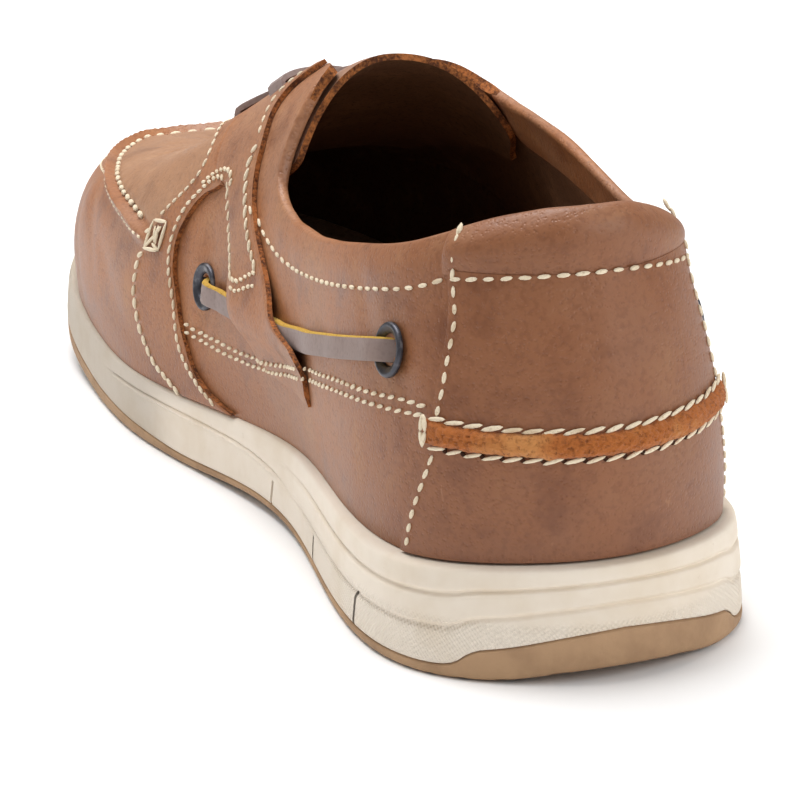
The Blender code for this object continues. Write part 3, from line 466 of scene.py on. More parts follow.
class Bench:
    """Modelling tools, used as by hand."""

    @staticmethod
    def rest() -> None:
        """Leave object mode as the only mode and deselect everything."""
        if bpy.context.object and bpy.context.object.mode != "OBJECT":
            bpy.ops.object.mode_set(mode="OBJECT")
        bpy.ops.object.select_all(action="DESELECT")

    @staticmethod
    def take(piece: bpy.types.Object) -> None:
        """Select one piece and make it the active one."""
        Bench.rest()
        piece.select_set(True)
        bpy.context.view_layer.objects.active = piece

    @staticmethod
    def edit(piece: bpy.types.Object, faces: Optional[Array] = None) -> None:
        """Go into edit mode with all of a piece selected, or only some of its faces."""
        Bench.take(piece)
        bpy.context.tool_settings.mesh_select_mode = (False, False, True)
        if faces is None:
            bpy.ops.object.mode_set(mode="EDIT")
            bpy.ops.mesh.select_all(action="SELECT")
            return
        mesh = piece.data
        mesh.vertices.foreach_set("select", np.zeros(len(mesh.vertices), bool))
        mesh.edges.foreach_set("select", np.zeros(len(mesh.edges), bool))
        mesh.polygons.foreach_set("select", faces)
        bpy.ops.object.mode_set(mode="EDIT")

    @staticmethod
    def done(piece: bpy.types.Object, angle: float = 0.7) -> bpy.types.Object:
        """Leave edit mode and shade the piece smoothly up to an angle."""
        Bench.take(piece)
        bpy.ops.object.shade_smooth_by_angle(angle=angle)
        return piece

    @staticmethod
    def finish(piece: bpy.types.Object, kind: str, **settings: object) -> None:
        """Add a modifier to a piece and apply it."""
        Bench.take(piece)
        modifier = piece.modifiers.new(kind.lower(), kind)
        for key, value in settings.items():
            setattr(modifier, key, value)
        bpy.ops.object.modifier_apply(modifier=modifier.name)

    @staticmethod
    def cloth(name: str, outer: Array, keep: Optional[Array] = None) -> bpy.types.Object:
        """Lay a grid over rows of points.

        Args:
            name: Name of the piece.
            outer: Points by row and column, in the last's own place.
            keep: Cells of the grid that are there.

        Returns:
            The piece, with its grid place kept in the attribute "spot" and a map in metres.
        """
        rows, columns = outer.shape[:2]
        Bench.rest()
        bpy.ops.mesh.primitive_grid_add(x_subdivisions=columns - 1, y_subdivisions=rows - 1, size=1.0)
        piece = bpy.context.object
        piece.name = piece.data.name = name
        mesh = piece.data
        mesh.vertices.foreach_set("co", (outer - ORIGIN).astype(np.float32).ravel())
        spot = mesh.attributes.new("spot", "INT", "POINT")
        spot.data.foreach_set("value", np.arange(rows * columns, dtype=np.int32))
        run = np.linalg.norm(np.diff(outer[rows // 2], axis=0), axis=1)
        climb = np.linalg.norm(np.diff(outer, axis=0), axis=2)
        level = np.broadcast_to(np.concatenate([[0.0], np.cumsum(run)]), (rows, columns))
        upright = np.concatenate([np.zeros((1, columns)), np.cumsum(climb, axis=0)])
        chart = np.stack([level, upright], -1).reshape(-1, 2)
        corner = np.empty(len(mesh.loops), np.int32)
        mesh.loops.foreach_get("vertex_index", corner)
        mesh.uv_layers[0].data.foreach_set("uv", chart[corner].astype(np.float32).ravel())
        if keep is not None:
            first = corner.reshape(-1, 4).min(1)
            Bench.edit(piece, ~keep[first // columns, first % columns])
            bpy.ops.mesh.delete(type="FACE")
        Bench.edit(piece)
        bpy.ops.mesh.remove_doubles(threshold=1e-6)
        bpy.ops.object.mode_set(mode="OBJECT")
        mesh.update()
        return piece

    @staticmethod
    def panel(name: str, outer: Array, inner: Array, keep: Optional[Array] = None,
              raw: Optional[Array] = None) -> bpy.types.Object:
        """Make a sheet with a thickness between two grids of points.

        Args:
            name: Name of the piece.
            outer: Points of the outer face, by row and column.
            inner: Points of the inner face.
            keep: Cells of the grid that are there.
            raw: Places on the rim where the cut edge shows; all of them when left out.

        Returns:
            The piece, whose faces use slot 0 outside, slot 1 inside and slot 2 on the cut edge.
        """
        piece = Bench.cloth(name, outer, keep)
        mesh = piece.data
        spot = Bench.spots(mesh)
        way = (outer - inner).reshape(-1, 3)
        facing = sum(float(face.normal.dot(way[spot[face.vertices[0]]].tolist()))
                     for face in list(mesh.polygons)[::97])
        if facing < 0:
            Bench.edit(piece)
            bpy.ops.mesh.flip_normals()
            bpy.ops.object.mode_set(mode="OBJECT")
        count = len(mesh.vertices)
        for _ in range(3):
            mesh.materials.append(None)
        Bench.finish(piece, "SOLIDIFY", thickness=0.001, offset=-1.0, material_offset=1,
                     material_offset_rim=2)
        mesh = piece.data
        spot = Bench.spots(mesh)
        layer = np.arange(len(spot)) >= count
        points = np.where(layer[:, None], inner.reshape(-1, 3)[spot], outer.reshape(-1, 3)[spot])
        mesh.vertices.foreach_set("co", (points - ORIGIN).astype(np.float32).ravel())
        if raw is not None:
            cut = raw.reshape(-1)[spot]
            for face in mesh.polygons:
                if face.material_index == 2 and not all(cut[list(face.vertices)]):
                    face.material_index = 0
        mesh.update()
        return Bench.done(piece)

    @staticmethod
    def spots(mesh: bpy.types.Mesh) -> Array:
        """Grid place of each point of a mesh."""
        spot = np.empty(len(mesh.vertices), np.int32)
        mesh.attributes["spot"].data.foreach_get("value", spot)
        return spot

    @staticmethod
    def body(name: str, rows: Iterable[Array]) -> bpy.types.Object:
        """Make a closed body from rows of points round the shoe; the first and last are spines."""
        points = np.array(list(rows))
        for end in (0, -1):
            points[end] = (points[end] + points[end][::-1]) / 2
        piece = Bench.cloth(name, points)
        Bench.edit(piece)
        bpy.ops.mesh.normals_make_consistent(inside=False)
        bpy.ops.object.mode_set(mode="OBJECT")
        return Bench.done(piece, 0.6)

    @staticmethod
    def many(name: str, shape: tuple[Array, list], places: Array) -> bpy.types.Object:
        """Repeat one small shape at many places.

        Args:
            name: Name of the piece.
            shape: Points and faces of the shape.
            places: A 3 by 4 matrix for each copy.

        Returns:
            One piece with all the copies.
        """
        points, faces = shape
        spread = np.einsum("nij,pj->npi", places[:, :, :3], points) + places[:, None, :, 3]
        count = len(points)
        lists = [tuple(corner + step * count for corner in face)
                 for step in range(len(places)) for face in faces]
        mesh = bpy.data.meshes.new(name)
        mesh.from_pydata((spread.reshape(-1, 3) - ORIGIN).tolist(), [], lists)
        piece = bpy.data.objects.new(name, mesh)
        bpy.context.scene.collection.objects.link(piece)
        return Bench.done(piece, 1.2)

    @staticmethod
    def bead(segments: int = 8, rings: int = 6) -> tuple[Array, list]:
        """Round bead of unit size, as points and faces to repeat."""
        Bench.rest()
        bpy.ops.mesh.primitive_uv_sphere_add(segments=segments, ring_count=rings, radius=1.0)
        piece = bpy.context.object
        points = np.array([tuple(vertex.co) for vertex in piece.data.vertices])
        faces = [tuple(face.vertices) for face in piece.data.polygons]
        bpy.data.objects.remove(piece, do_unlink=True)
        return points, faces

    @staticmethod
    def dress(piece: bpy.types.Object, materials: Sequence[bpy.types.Material], slot: str,
              nodes: Sequence[str] = ()) -> None:
        """Give a piece its materials, hang it from the root and hide the solids that it stands for."""
        if len(piece.data.materials) == len(materials):
            for i, material in enumerate(materials):
                piece.data.materials[i] = material
        else:
            piece.data.materials.clear()
            for material in materials:
                piece.data.materials.append(material)
        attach(piece, "root")
        if nodes:
            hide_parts(*nodes)
        LOG.info("%s: %d faces", piece.name, len(piece.data.polygons))


def linear(red: int, green: int, blue: int) -> tuple[float, float, float, float]:
    """Turn a screen colour of 0 to 255 into the light that a shader works with."""
    values = [part / 255 for part in (red, green, blue)]
    values = [part / 12.92 if part <= 0.04045 else ((part + 0.055) / 1.055)**2.4 for part in values]
    return (*values, 1.0)


class Value:
    """Number or colour that a shader works out at each point."""

    def __init__(self, graph: "Graph", socket: bpy.types.NodeSocket) -> None:
        """Wrap an output socket of a graph."""
        self.graph = graph
        self.socket = socket

    def math(self, operation: str, first: "Number", second: "Number") -> "Value":
        """Work out one operation on two numbers."""
        return self.graph.node("ShaderNodeMath", {"operation": operation}, {0: first, 1: second})

    def __add__(self, other: "Number") -> "Value":
        """Sum."""
        return self.math("ADD", self, other)

    __radd__ = __add__

    def __sub__(self, other: "Number") -> "Value":
        """Difference."""
        return self.math("SUBTRACT", self, other)

    def __mul__(self, other: "Number") -> "Value":
        """Product."""
        return self.math("MULTIPLY", self, other)

    __rmul__ = __mul__


Number = Union[Value, float]


class Graph:
    """Nodes of one material."""

    def __init__(self, name: str) -> None:
        """Start a material with only its shader."""
        self.material = bpy.data.materials.new(name)
        self.material.use_nodes = True
        self.tree = self.material.node_tree
        self.shader = self.tree.nodes["Principled BSDF"]

    def node(self, kind: str, settings: Optional[dict] = None, sockets: Optional[dict] = None,
             output: Union[int, str] = 0) -> Value:
        """Add a node.

        Args:
            kind: Blender's name for the node's type.
            settings: Settings of the node, set first.
            sockets: Values or links of its inputs, by name or number.
            output: Which output to read.

        Returns:
            The output as a value.
        """
        node = self.tree.nodes.new(kind)
        for key, value in (settings or {}).items():
            setattr(node, key, value)
        for key, value in (sockets or {}).items():
            self.feed(node.inputs[key], value)
        return Value(self, node.outputs[output])

    def feed(self, socket: bpy.types.NodeSocket, value: object) -> None:
        """Link a value to a socket, or set a constant on it."""
        if isinstance(value, Value):
            self.tree.links.new(value.socket, socket)
        else:
            socket.default_value = value

    def place(self) -> Value:
        """Place on the shoe, in metres."""
        return self.node("ShaderNodeTexCoord", output="Object")

    def chart(self) -> Value:
        """Place on the piece's own map, in metres."""
        return self.node("ShaderNodeTexCoord", output="UV")

    def stretch(self, place: Value, scale: Sequence[float], turn: Sequence[float] = (0, 0, 0)) -> Value:
        """Scale and turn a place."""
        return self.node("ShaderNodeMapping", {}, {"Vector": place, "Scale": scale, "Rotation": turn})

    def noise(self, place: Value, scale: float, detail: float = 2.0, rough: float = 0.5) -> Value:
        """Soft random cloud between 0 and 1."""
        return self.node("ShaderNodeTexNoise", {}, {
            "Vector": place, "Scale": scale, "Detail": detail, "Roughness": rough}, "Fac")

    def cells(self, place: Value, scale: float, feature: str = "F1") -> Value:
        """Distance to the nearest of scattered points, or to the edge between two."""
        return self.node("ShaderNodeTexVoronoi", {"feature": feature}, {
            "Vector": place, "Scale": scale}, "Distance")

    def bands(self, place: Value, scale: float, direction: str, warp: float = 0.0) -> Value:
        """Even bands across one direction."""
        return self.node("ShaderNodeTexWave", {"bands_direction": direction}, {
            "Vector": place, "Scale": scale, "Distortion": warp, "Detail": 1.0,
            "Detail Scale": 2.0}, "Fac")

    def part(self, place: Value, axis: str) -> Value:
        """One coordinate of a place."""
        return self.node("ShaderNodeSeparateXYZ", {}, {0: place}, axis)

    def step(self, value: Value, low: float, high: float, start: float = 0.0, end: float = 1.0) -> Value:
        """Rise smoothly from one value to another."""
        return self.node("ShaderNodeMapRange", {"interpolation_type": "SMOOTHSTEP"}, {
            "Value": value, "From Min": low, "From Max": high, "To Min": start, "To Max": end})

    def blend(self, first: object, second: object, share: Number) -> Value:
        """Mix two colours."""
        return self.node("ShaderNodeMix", {"data_type": "RGBA"}, {0: share, 6: first, 7: second}, 2)

    def bump(self, height: Value, distance: float, strength: float = 1.0) -> Value:
        """Normal of a surface with a height painted on it."""
        return self.node("ShaderNodeBump", {}, {
            "Height": height, "Distance": distance, "Strength": strength})

    def done(self, **sockets: object) -> bpy.types.Material:
        """Feed the shader's own sockets, named with underscores, and give back the material."""
        for key, value in sockets.items():
            self.feed(self.shader.inputs[key.replace("_", " ")], value)
        return self.material


@dataclass(frozen=True)
class Leather:
    """Oiled full-grain leather: mottled, pebbled and lightly scratched, with cool grey patches that are
    partly its own tone and partly painted reflection.
    """

    name: str = "oiled_leather"
    plain: Sequence[float] = linear(164, 108, 70)
    dark: Sequence[float] = linear(104, 57, 31)
    light: Sequence[float] = linear(184, 136, 96)
    cool: Sequence[float] = linear(160, 126, 104)
    coolness: float = 0.35
    grain: float = 0.00015
    roughness: float = 0.46

    def make(self) -> bpy.types.Material:
        """Build the material."""
        graph = Graph(self.name)
        place = graph.place()
        cloud = graph.noise(place, 26.0, 3.0, 0.55)
        patch = graph.noise(place, 85.0, 4.0, 0.6)
        fine = graph.noise(place, 900.0, 2.0, 0.5)
        heel = graph.step(graph.part(place, "Y"), -0.145, -0.06, 0.50, 0.0)
        low = graph.step(graph.part(place, "Z"), 0.018, 0.036, 0.30, 0.0)
        # cool grey mottling: partly the leather's own grey tone, partly painted reflection of the pale
        # surroundings
        colour = graph.blend(self.plain, self.cool, graph.step(cloud, 0.42, 0.66, 0.0, self.coolness))
        colour = graph.blend(colour, self.light, graph.step(patch, 0.52, 0.78, 0.0, 0.55))
        colour = graph.blend(colour, self.dark, graph.step(patch, 0.50, 0.24, 0.0, 0.62))
        colour = graph.blend(colour, self.dark, heel)
        colour = graph.blend(colour, self.dark, low)
        colour = graph.blend(colour, self.dark, graph.step(fine, 0.54, 0.32, 0.0, 0.30))
        scratch = graph.noise(graph.stretch(place, (70.0, 900.0, 260.0), (0.5, 0.3, 0.4)), 1.0, 3.0, 0.6)
        marks = graph.step(scratch, 0.68, 0.76)
        colour = graph.blend(colour, self.light, marks * 0.22)
        pebble = graph.cells(place, 1250.0)
        pores = graph.step(pebble, 0.0, 0.45)
        crease = graph.cells(place, 260.0, "DISTANCE_TO_EDGE")
        height = pores * 0.55 + fine * 0.6 + graph.step(crease, 0.0, 0.12) * 0.12 - marks * 0.25
        roughness = self.roughness + (patch - 0.5) * 0.28 + (fine - 0.5) * 0.12
        return graph.done(Base_Color=colour, Roughness=roughness, Normal=graph.bump(height, self.grain),
                          Specular_IOR_Level=0.42)


@dataclass(frozen=True)
class CutEdge:
    """Raw cut edge of thick leather, fibrous and orange brown."""

    name: str = "cut_edge"
    dark: Sequence[float] = linear(78, 42, 22)
    light: Sequence[float] = linear(176, 108, 58)
    depth: float = 0.00025

    def make(self) -> bpy.types.Material:
        """Build the material."""
        graph = Graph(self.name)
        place = graph.place()
        fibre = graph.noise(place, 1500.0, 4.0, 0.65)
        patch = graph.noise(place, 240.0, 3.0, 0.6)
        colour = graph.blend(self.dark, self.light, graph.step(fibre * 0.55 + patch * 0.45, 0.38, 0.62))
        return graph.done(Base_Color=colour, Roughness=0.5 + fibre * 0.5,
                          Normal=graph.bump(fibre, self.depth), Specular_IOR_Level=0.2)


@dataclass(frozen=True)
class Suede:
    """Soft napped leather."""

    name: str
    plain: Sequence[float]
    light: Sequence[float]
    dark: Sequence[float]
    depth: float = 0.0004
    scale: float = 900.0
    sheen: float = 0.0

    def make(self) -> bpy.types.Material:
        """Build the material."""
        graph = Graph(self.name)
        place = graph.place()
        nap = graph.noise(place, self.scale, 5.0, 0.7)
        patch = graph.noise(place, 75.0, 3.0, 0.6)
        colour = graph.blend(self.plain, self.light, graph.step(patch, 0.48, 0.74, 0.0, 0.8))
        colour = graph.blend(colour, self.dark, graph.step(nap, 0.52, 0.30, 0.0, 0.75))
        return graph.done(Base_Color=colour, Roughness=0.78 + nap * 0.22,
                          Normal=graph.bump(nap, self.depth), Specular_IOR_Level=0.15,
                          Sheen_Weight=self.sheen, Sheen_Roughness=0.5)


@dataclass(frozen=True)
class Foam:
    """Cream midsole with grime specks, moulded ribs at the forefoot with painted shade between them, and a
    fine net at the heel.
    """

    name: str = "cream_midsole"
    plain: Sequence[float] = linear(232, 220, 204)
    warm: Sequence[float] = linear(220, 204, 182)
    grime_and_rib_shade: Sequence[float] = linear(176, 150, 120)

    def make(self) -> bpy.types.Material:
        """Build the material."""
        graph = Graph(self.name)
        place, chart = graph.place(), graph.chart()
        far, high = graph.part(place, "Y"), graph.part(place, "Z")
        cloud = graph.noise(place, 45.0, 4.0, 0.6)
        fine = graph.noise(place, 650.0, 3.0, 0.6)
        colour = graph.blend(self.plain, self.warm, graph.step(cloud, 0.42, 0.70, 0.0, 0.7))
        specks = graph.step(graph.noise(place, 300.0, 4.0, 0.7), 0.66, 0.78, 0.0, 0.30)
        colour = graph.blend(colour, self.grime_and_rib_shade, specks)
        front = graph.step(far, 0.010, 0.035)
        ribs = graph.bands(chart, 640.0, "X") * front
        back = graph.step(far, -0.040, -0.070) * graph.step(high, 0.0125, 0.0105)
        net = graph.bands(graph.stretch(chart, (1, 1, 1), (0, 0, 0.8)), 420.0, "X")
        net = (net + graph.bands(graph.stretch(chart, (1, 1, 1), (0, 0, -0.8)), 420.0, "X")) * 0.5 * back
        # painted shade in the grooves between the forefoot ribs, in the same colour as the grime specks
        colour = graph.blend(colour, self.grime_and_rib_shade, ribs * 0.20)
        height = ribs * 1.2 + net + fine * 0.35
        return graph.done(Base_Color=colour, Roughness=0.58 + cloud * 0.14,
                          Normal=graph.bump(height, 0.00022), Specular_IOR_Level=0.35)


@dataclass(frozen=True)
class Rubber:
    """Tan rubber of the outsole, with siped tread below whose grooves are painted dark as shade."""

    name: str = "tan_rubber"
    plain: Sequence[float] = linear(176, 142, 108)
    dark: Sequence[float] = linear(140, 108, 80)

    def make(self) -> bpy.types.Material:
        """Build the material."""
        graph = Graph(self.name)
        place = graph.place()
        cloud = graph.noise(place, 70.0, 4.0, 0.6)
        fine = graph.noise(place, 700.0, 3.0, 0.6)
        colour = graph.blend(self.plain, self.dark, graph.step(cloud, 0.40, 0.70, 0.0, 0.6))
        down = graph.part(graph.node("ShaderNodeTexCoord", output="Normal"), "Z")
        below = graph.step(down, -0.6, -0.9)
        wave = graph.bands(place, 62.0, "Y", 1.2)
        # the sipe grooves under the sole are painted dark: painted shade in the recesses
        groove = graph.step(wave, 0.22, 0.08) * below
        colour = graph.blend(colour, linear(84, 62, 45), groove * 0.8)
        return graph.done(Base_Color=colour, Roughness=0.62 + cloud * 0.15,
                          Normal=graph.bump(fine * 0.3 - groove, 0.0006), Specular_IOR_Level=0.35)


@dataclass(frozen=True)
class Metal:
    """Gunmetal of the eyelets, dulled and worn bright in patches."""

    name: str = "gunmetal"
    plain: Sequence[float] = linear(74, 74, 80)
    worn: Sequence[float] = linear(132, 130, 132)

    def make(self) -> bpy.types.Material:
        """Build the material."""
        graph = Graph(self.name)
        place = graph.place()
        cloud = graph.noise(place, 320.0, 3.0, 0.6)
        colour = graph.blend(self.plain, self.worn, graph.step(cloud, 0.50, 0.75))
        return graph.done(Base_Color=colour, Metallic=0.9, Roughness=0.30 + cloud * 0.22,
                          Normal=graph.bump(graph.noise(place, 1400.0, 3.0), 0.00003))


@dataclass(frozen=True)
class Thread:
    """Waxed cream thread, twisted."""

    name: str = "cream_thread"
    plain: Sequence[float] = linear(232, 217, 190)
    dark: Sequence[float] = linear(188, 160, 124)

    def make(self) -> bpy.types.Material:
        """Build the material."""
        graph = Graph(self.name)
        place = graph.place()
        ply = graph.noise(place, 1700.0, 3.0, 0.6)
        patch = graph.noise(place, 130.0, 3.0, 0.6)
        colour = graph.blend(self.plain, self.dark, graph.step(patch, 0.50, 0.74, 0.0, 0.65))
        colour = graph.blend(colour, self.dark, graph.step(ply, 0.46, 0.30, 0.0, 0.6))
        return graph.done(Base_Color=colour, Roughness=0.55 + ply * 0.3,
                          Normal=graph.bump(ply, 0.00022), Specular_IOR_Level=0.3)


def made(finish: Leather | CutEdge | Suede | Foam | Rubber | Metal | Thread) -> bpy.types.Material:
    """Field that holds the material of a finish, built with the set."""
    return field(default_factory=finish.make)


@dataclass(frozen=True)
class Finishes:
    """Every material of the shoe."""

    leather: bpy.types.Material = made(Leather())
    # facing leather: its larger cool share is partly grey tone, partly painted reflection
    facing: bpy.types.Material = made(Leather(
        "facing_leather", linear(163, 118, 90), linear(118, 76, 52), linear(186, 144, 114),
        linear(163, 134, 118), 0.70))
    apron: bpy.types.Material = made(Leather(
        "apron_leather", linear(170, 124, 90), linear(128, 86, 58), linear(188, 146, 112),
        linear(166, 132, 108), 0.30))
    cut: bpy.types.Material = made(CutEdge())
    tape: bpy.types.Material = made(Suede(
        "orange_suede", linear(178, 104, 50), linear(208, 146, 86), linear(104, 54, 24), 0.0006, sheen=0.15))
    lining: bpy.types.Material = made(Suede(
        "dark_lining", linear(104, 72, 50), linear(124, 88, 62), linear(70, 46, 30), 0.0002))
    footbed: bpy.types.Material = made(Suede(
        "footbed_leather", linear(205, 176, 148), linear(218, 190, 162), linear(172, 142, 114), 0.00015))
    foam: bpy.types.Material = made(Foam())
    rubber: bpy.types.Material = made(Rubber())
    metal: bpy.types.Material = made(Metal())
    thread: bpy.types.Material = made(Thread())
    lace: bpy.types.Material = made(Leather(
        "lace_leather", linear(146, 126, 118), linear(112, 92, 84), linear(168, 148, 138),
        linear(150, 136, 134), 0.5, 0.00006, 0.62))
    lace_edge: bpy.types.Material = made(Suede(
        "ochre_edge", linear(204, 164, 78), linear(226, 192, 106), linear(150, 106, 46), 0.0002, 1300.0))
    # dark brown of the needle holes is painted shade inside the holes
    hole: bpy.types.Material = made(Suede(
        "needle_hole_shade", linear(58, 34, 22), linear(70, 42, 28), linear(40, 24, 16), 0.0001))


def lip(turn: Array, rise: Array, radius: float) -> Array:
    """Fall of a face towards the edge of the opening, which rounds the edge.

    Args:
        turn: Turns of the places.
        rise: Rises of the places.
        radius: Radius of the rounding, in metres.

    Returns:
        How far each place falls.
    """
    turn, rise = np.broadcast_arrays(np.asarray(turn, float), np.asarray(rise, float))
    step = LAST.point(turn, np.minimum(rise + 0.01, 1.0)) - LAST.point(turn, rise - 0.01)
    scale = np.linalg.norm(step, axis=-1) / 0.02
    left = np.clip((LAST.edge_rise(turn) - rise) * scale, 0, radius)
    fall = radius - np.sqrt(np.maximum(radius**2 - (radius - left)**2, 0))
    return np.where(rise <= LAST.edge_rise(turn) + 1e-6, fall, 0.0)


def spread(*spans: tuple[float, float, int]) -> Array:
    """Shares of a way, each span with its start, end and number of steps."""
    return np.concatenate([np.linspace(start, end, count) for start, end, count in spans])


@dataclass
class Upper:
    """Hollow upper with its rolled collar, its throat and the ridge round the apron."""

    finishes: Finishes
    columns: int = 205
    wall: float = 0.0022
    collar_radius: float = 0.0011
    pad: Sequence[float] = (0.07, 0.05, 0.0010)
    wall_rows: Table = ((0.0, 0.80, 15), (0.82, 1.0, 12))
    quarter_rows: Table = ((0.02, 0.20, 8), (0.26, 0.86, 12), (0.90, 0.96, 4))
    collar_rows: Sequence[float] = (0.975, 0.988, 0.996, 1.0)
    crest_rows: Sequence[float] = (0.07, 1.0, 15)
    collar_span: Sequence[float] = (0.455, 0.475)
    square_end: float = 0.860
    raw_start: float = 0.462
    apron_start: float = 0.56
    facing_end: float = 0.47
    facing_rows: int = 12
    eyelets: Table = ((0.507, 0.233), (0.220, 0.325))
    eyelet_hole: float = 0.0028

    def rises(self, turn: Array) -> Array:
        """Rises of the rows over the seam and the edge to the crest."""
        edge, seam = LAST.edge_rise(turn), LAST.seam_rise(turn)
        rows = [seam * part for part in spread(*self.wall_rows)]
        rows += [seam + (edge - seam) * part for part in (*spread(*self.quarter_rows), *self.collar_rows)]
        self.edge_row = len(rows) - 1
        rows += [edge + (1 - edge) * part for part in spread(self.crest_rows)]
        return np.array(rows)

    def build(self) -> bpy.types.Object:
        """Build the upper and dress it."""
        turn = LAST.ring(self.columns)
        rises = self.rises(turn)
        front = np.abs(turn)[np.abs(turn) < LAST.throat_end + 0.002].max()
        square = 1 - ramp(np.abs(turn), front, self.square_end)
        above = np.clip((rises - LAST.edge_rise(turn)) / (1 - LAST.edge_rise(turn)), 0, 1)
        ahead = np.abs(turn) > front - 1e-6
        turns = turn + np.sign(turn) * LAST.throat_square * square * ahead * above
        collar = 1 - ramp(np.abs(turns), *self.collar_span)
        fall = lip(turns, rises, self.collar_radius) * collar
        worn = LAST.skin(turns, rises)
        plain = LAST.relief(turns, rises)
        apart = LAST.edge_rise(turns) - rises
        outer = LAST.offset(turns, rises, worn - fall)
        inner = LAST.offset(turns, rises, plain - self.wall + fall - hump(apart, self.pad) * collar)
        inner[0, :, 2] = outer[0, :, 2]
        for layer in (outer, inner):
            layer[-1] = (layer[-1] + layer[-1][::-1]) / 2
        keep = np.ones((len(rises) - 1, len(turn) - 1), bool)
        throat = np.maximum(np.abs(turn[:-1]), np.abs(turn[1:])) < LAST.throat_end + 0.002
        keep[self.edge_row:, throat] = False
        cells = (outer[:-1, :-1] + outer[1:, 1:]) / 2
        for side in Side:
            for spot_turn, spot_rise in self.eyelets:
                centre = LAST.point(side.value * spot_turn, spot_rise)
                keep &= np.linalg.norm(cells - centre, axis=-1) > self.eyelet_hole
        raw = np.broadcast_to(np.abs(turn) > self.raw_start, rises.shape)
        piece = Bench.panel("upper_leather", outer, inner, keep, raw)
        self.sort_faces(piece, turns, rises)
        Bench.dress(piece, [self.finishes.leather, self.finishes.lining, self.finishes.cut,
                            self.finishes.apron], "leather", ["upper"])
        return piece

    def sort_faces(self, piece: bpy.types.Object, turns: Array, rises: Array) -> None:
        """Give the apron and the collar's turned-in facing their own leather."""
        mesh = piece.data
        mesh.materials.append(None)
        spot = Bench.spots(mesh)
        apron = ((rises > LAST.seam_rise(turns)) & (np.abs(turns) > self.apron_start)).reshape(-1)[spot]
        facing = (spot // turns.shape[1] >= self.edge_row - self.facing_rows)
        facing &= (np.abs(turns) < self.facing_end).reshape(-1)[spot]
        for face in mesh.polygons:
            corners = list(face.vertices)
            if face.material_index == 0 and all(apron[corners]):
                face.material_index = 3
            elif face.material_index == 1 and all(facing[corners]):
                face.material_index = 0


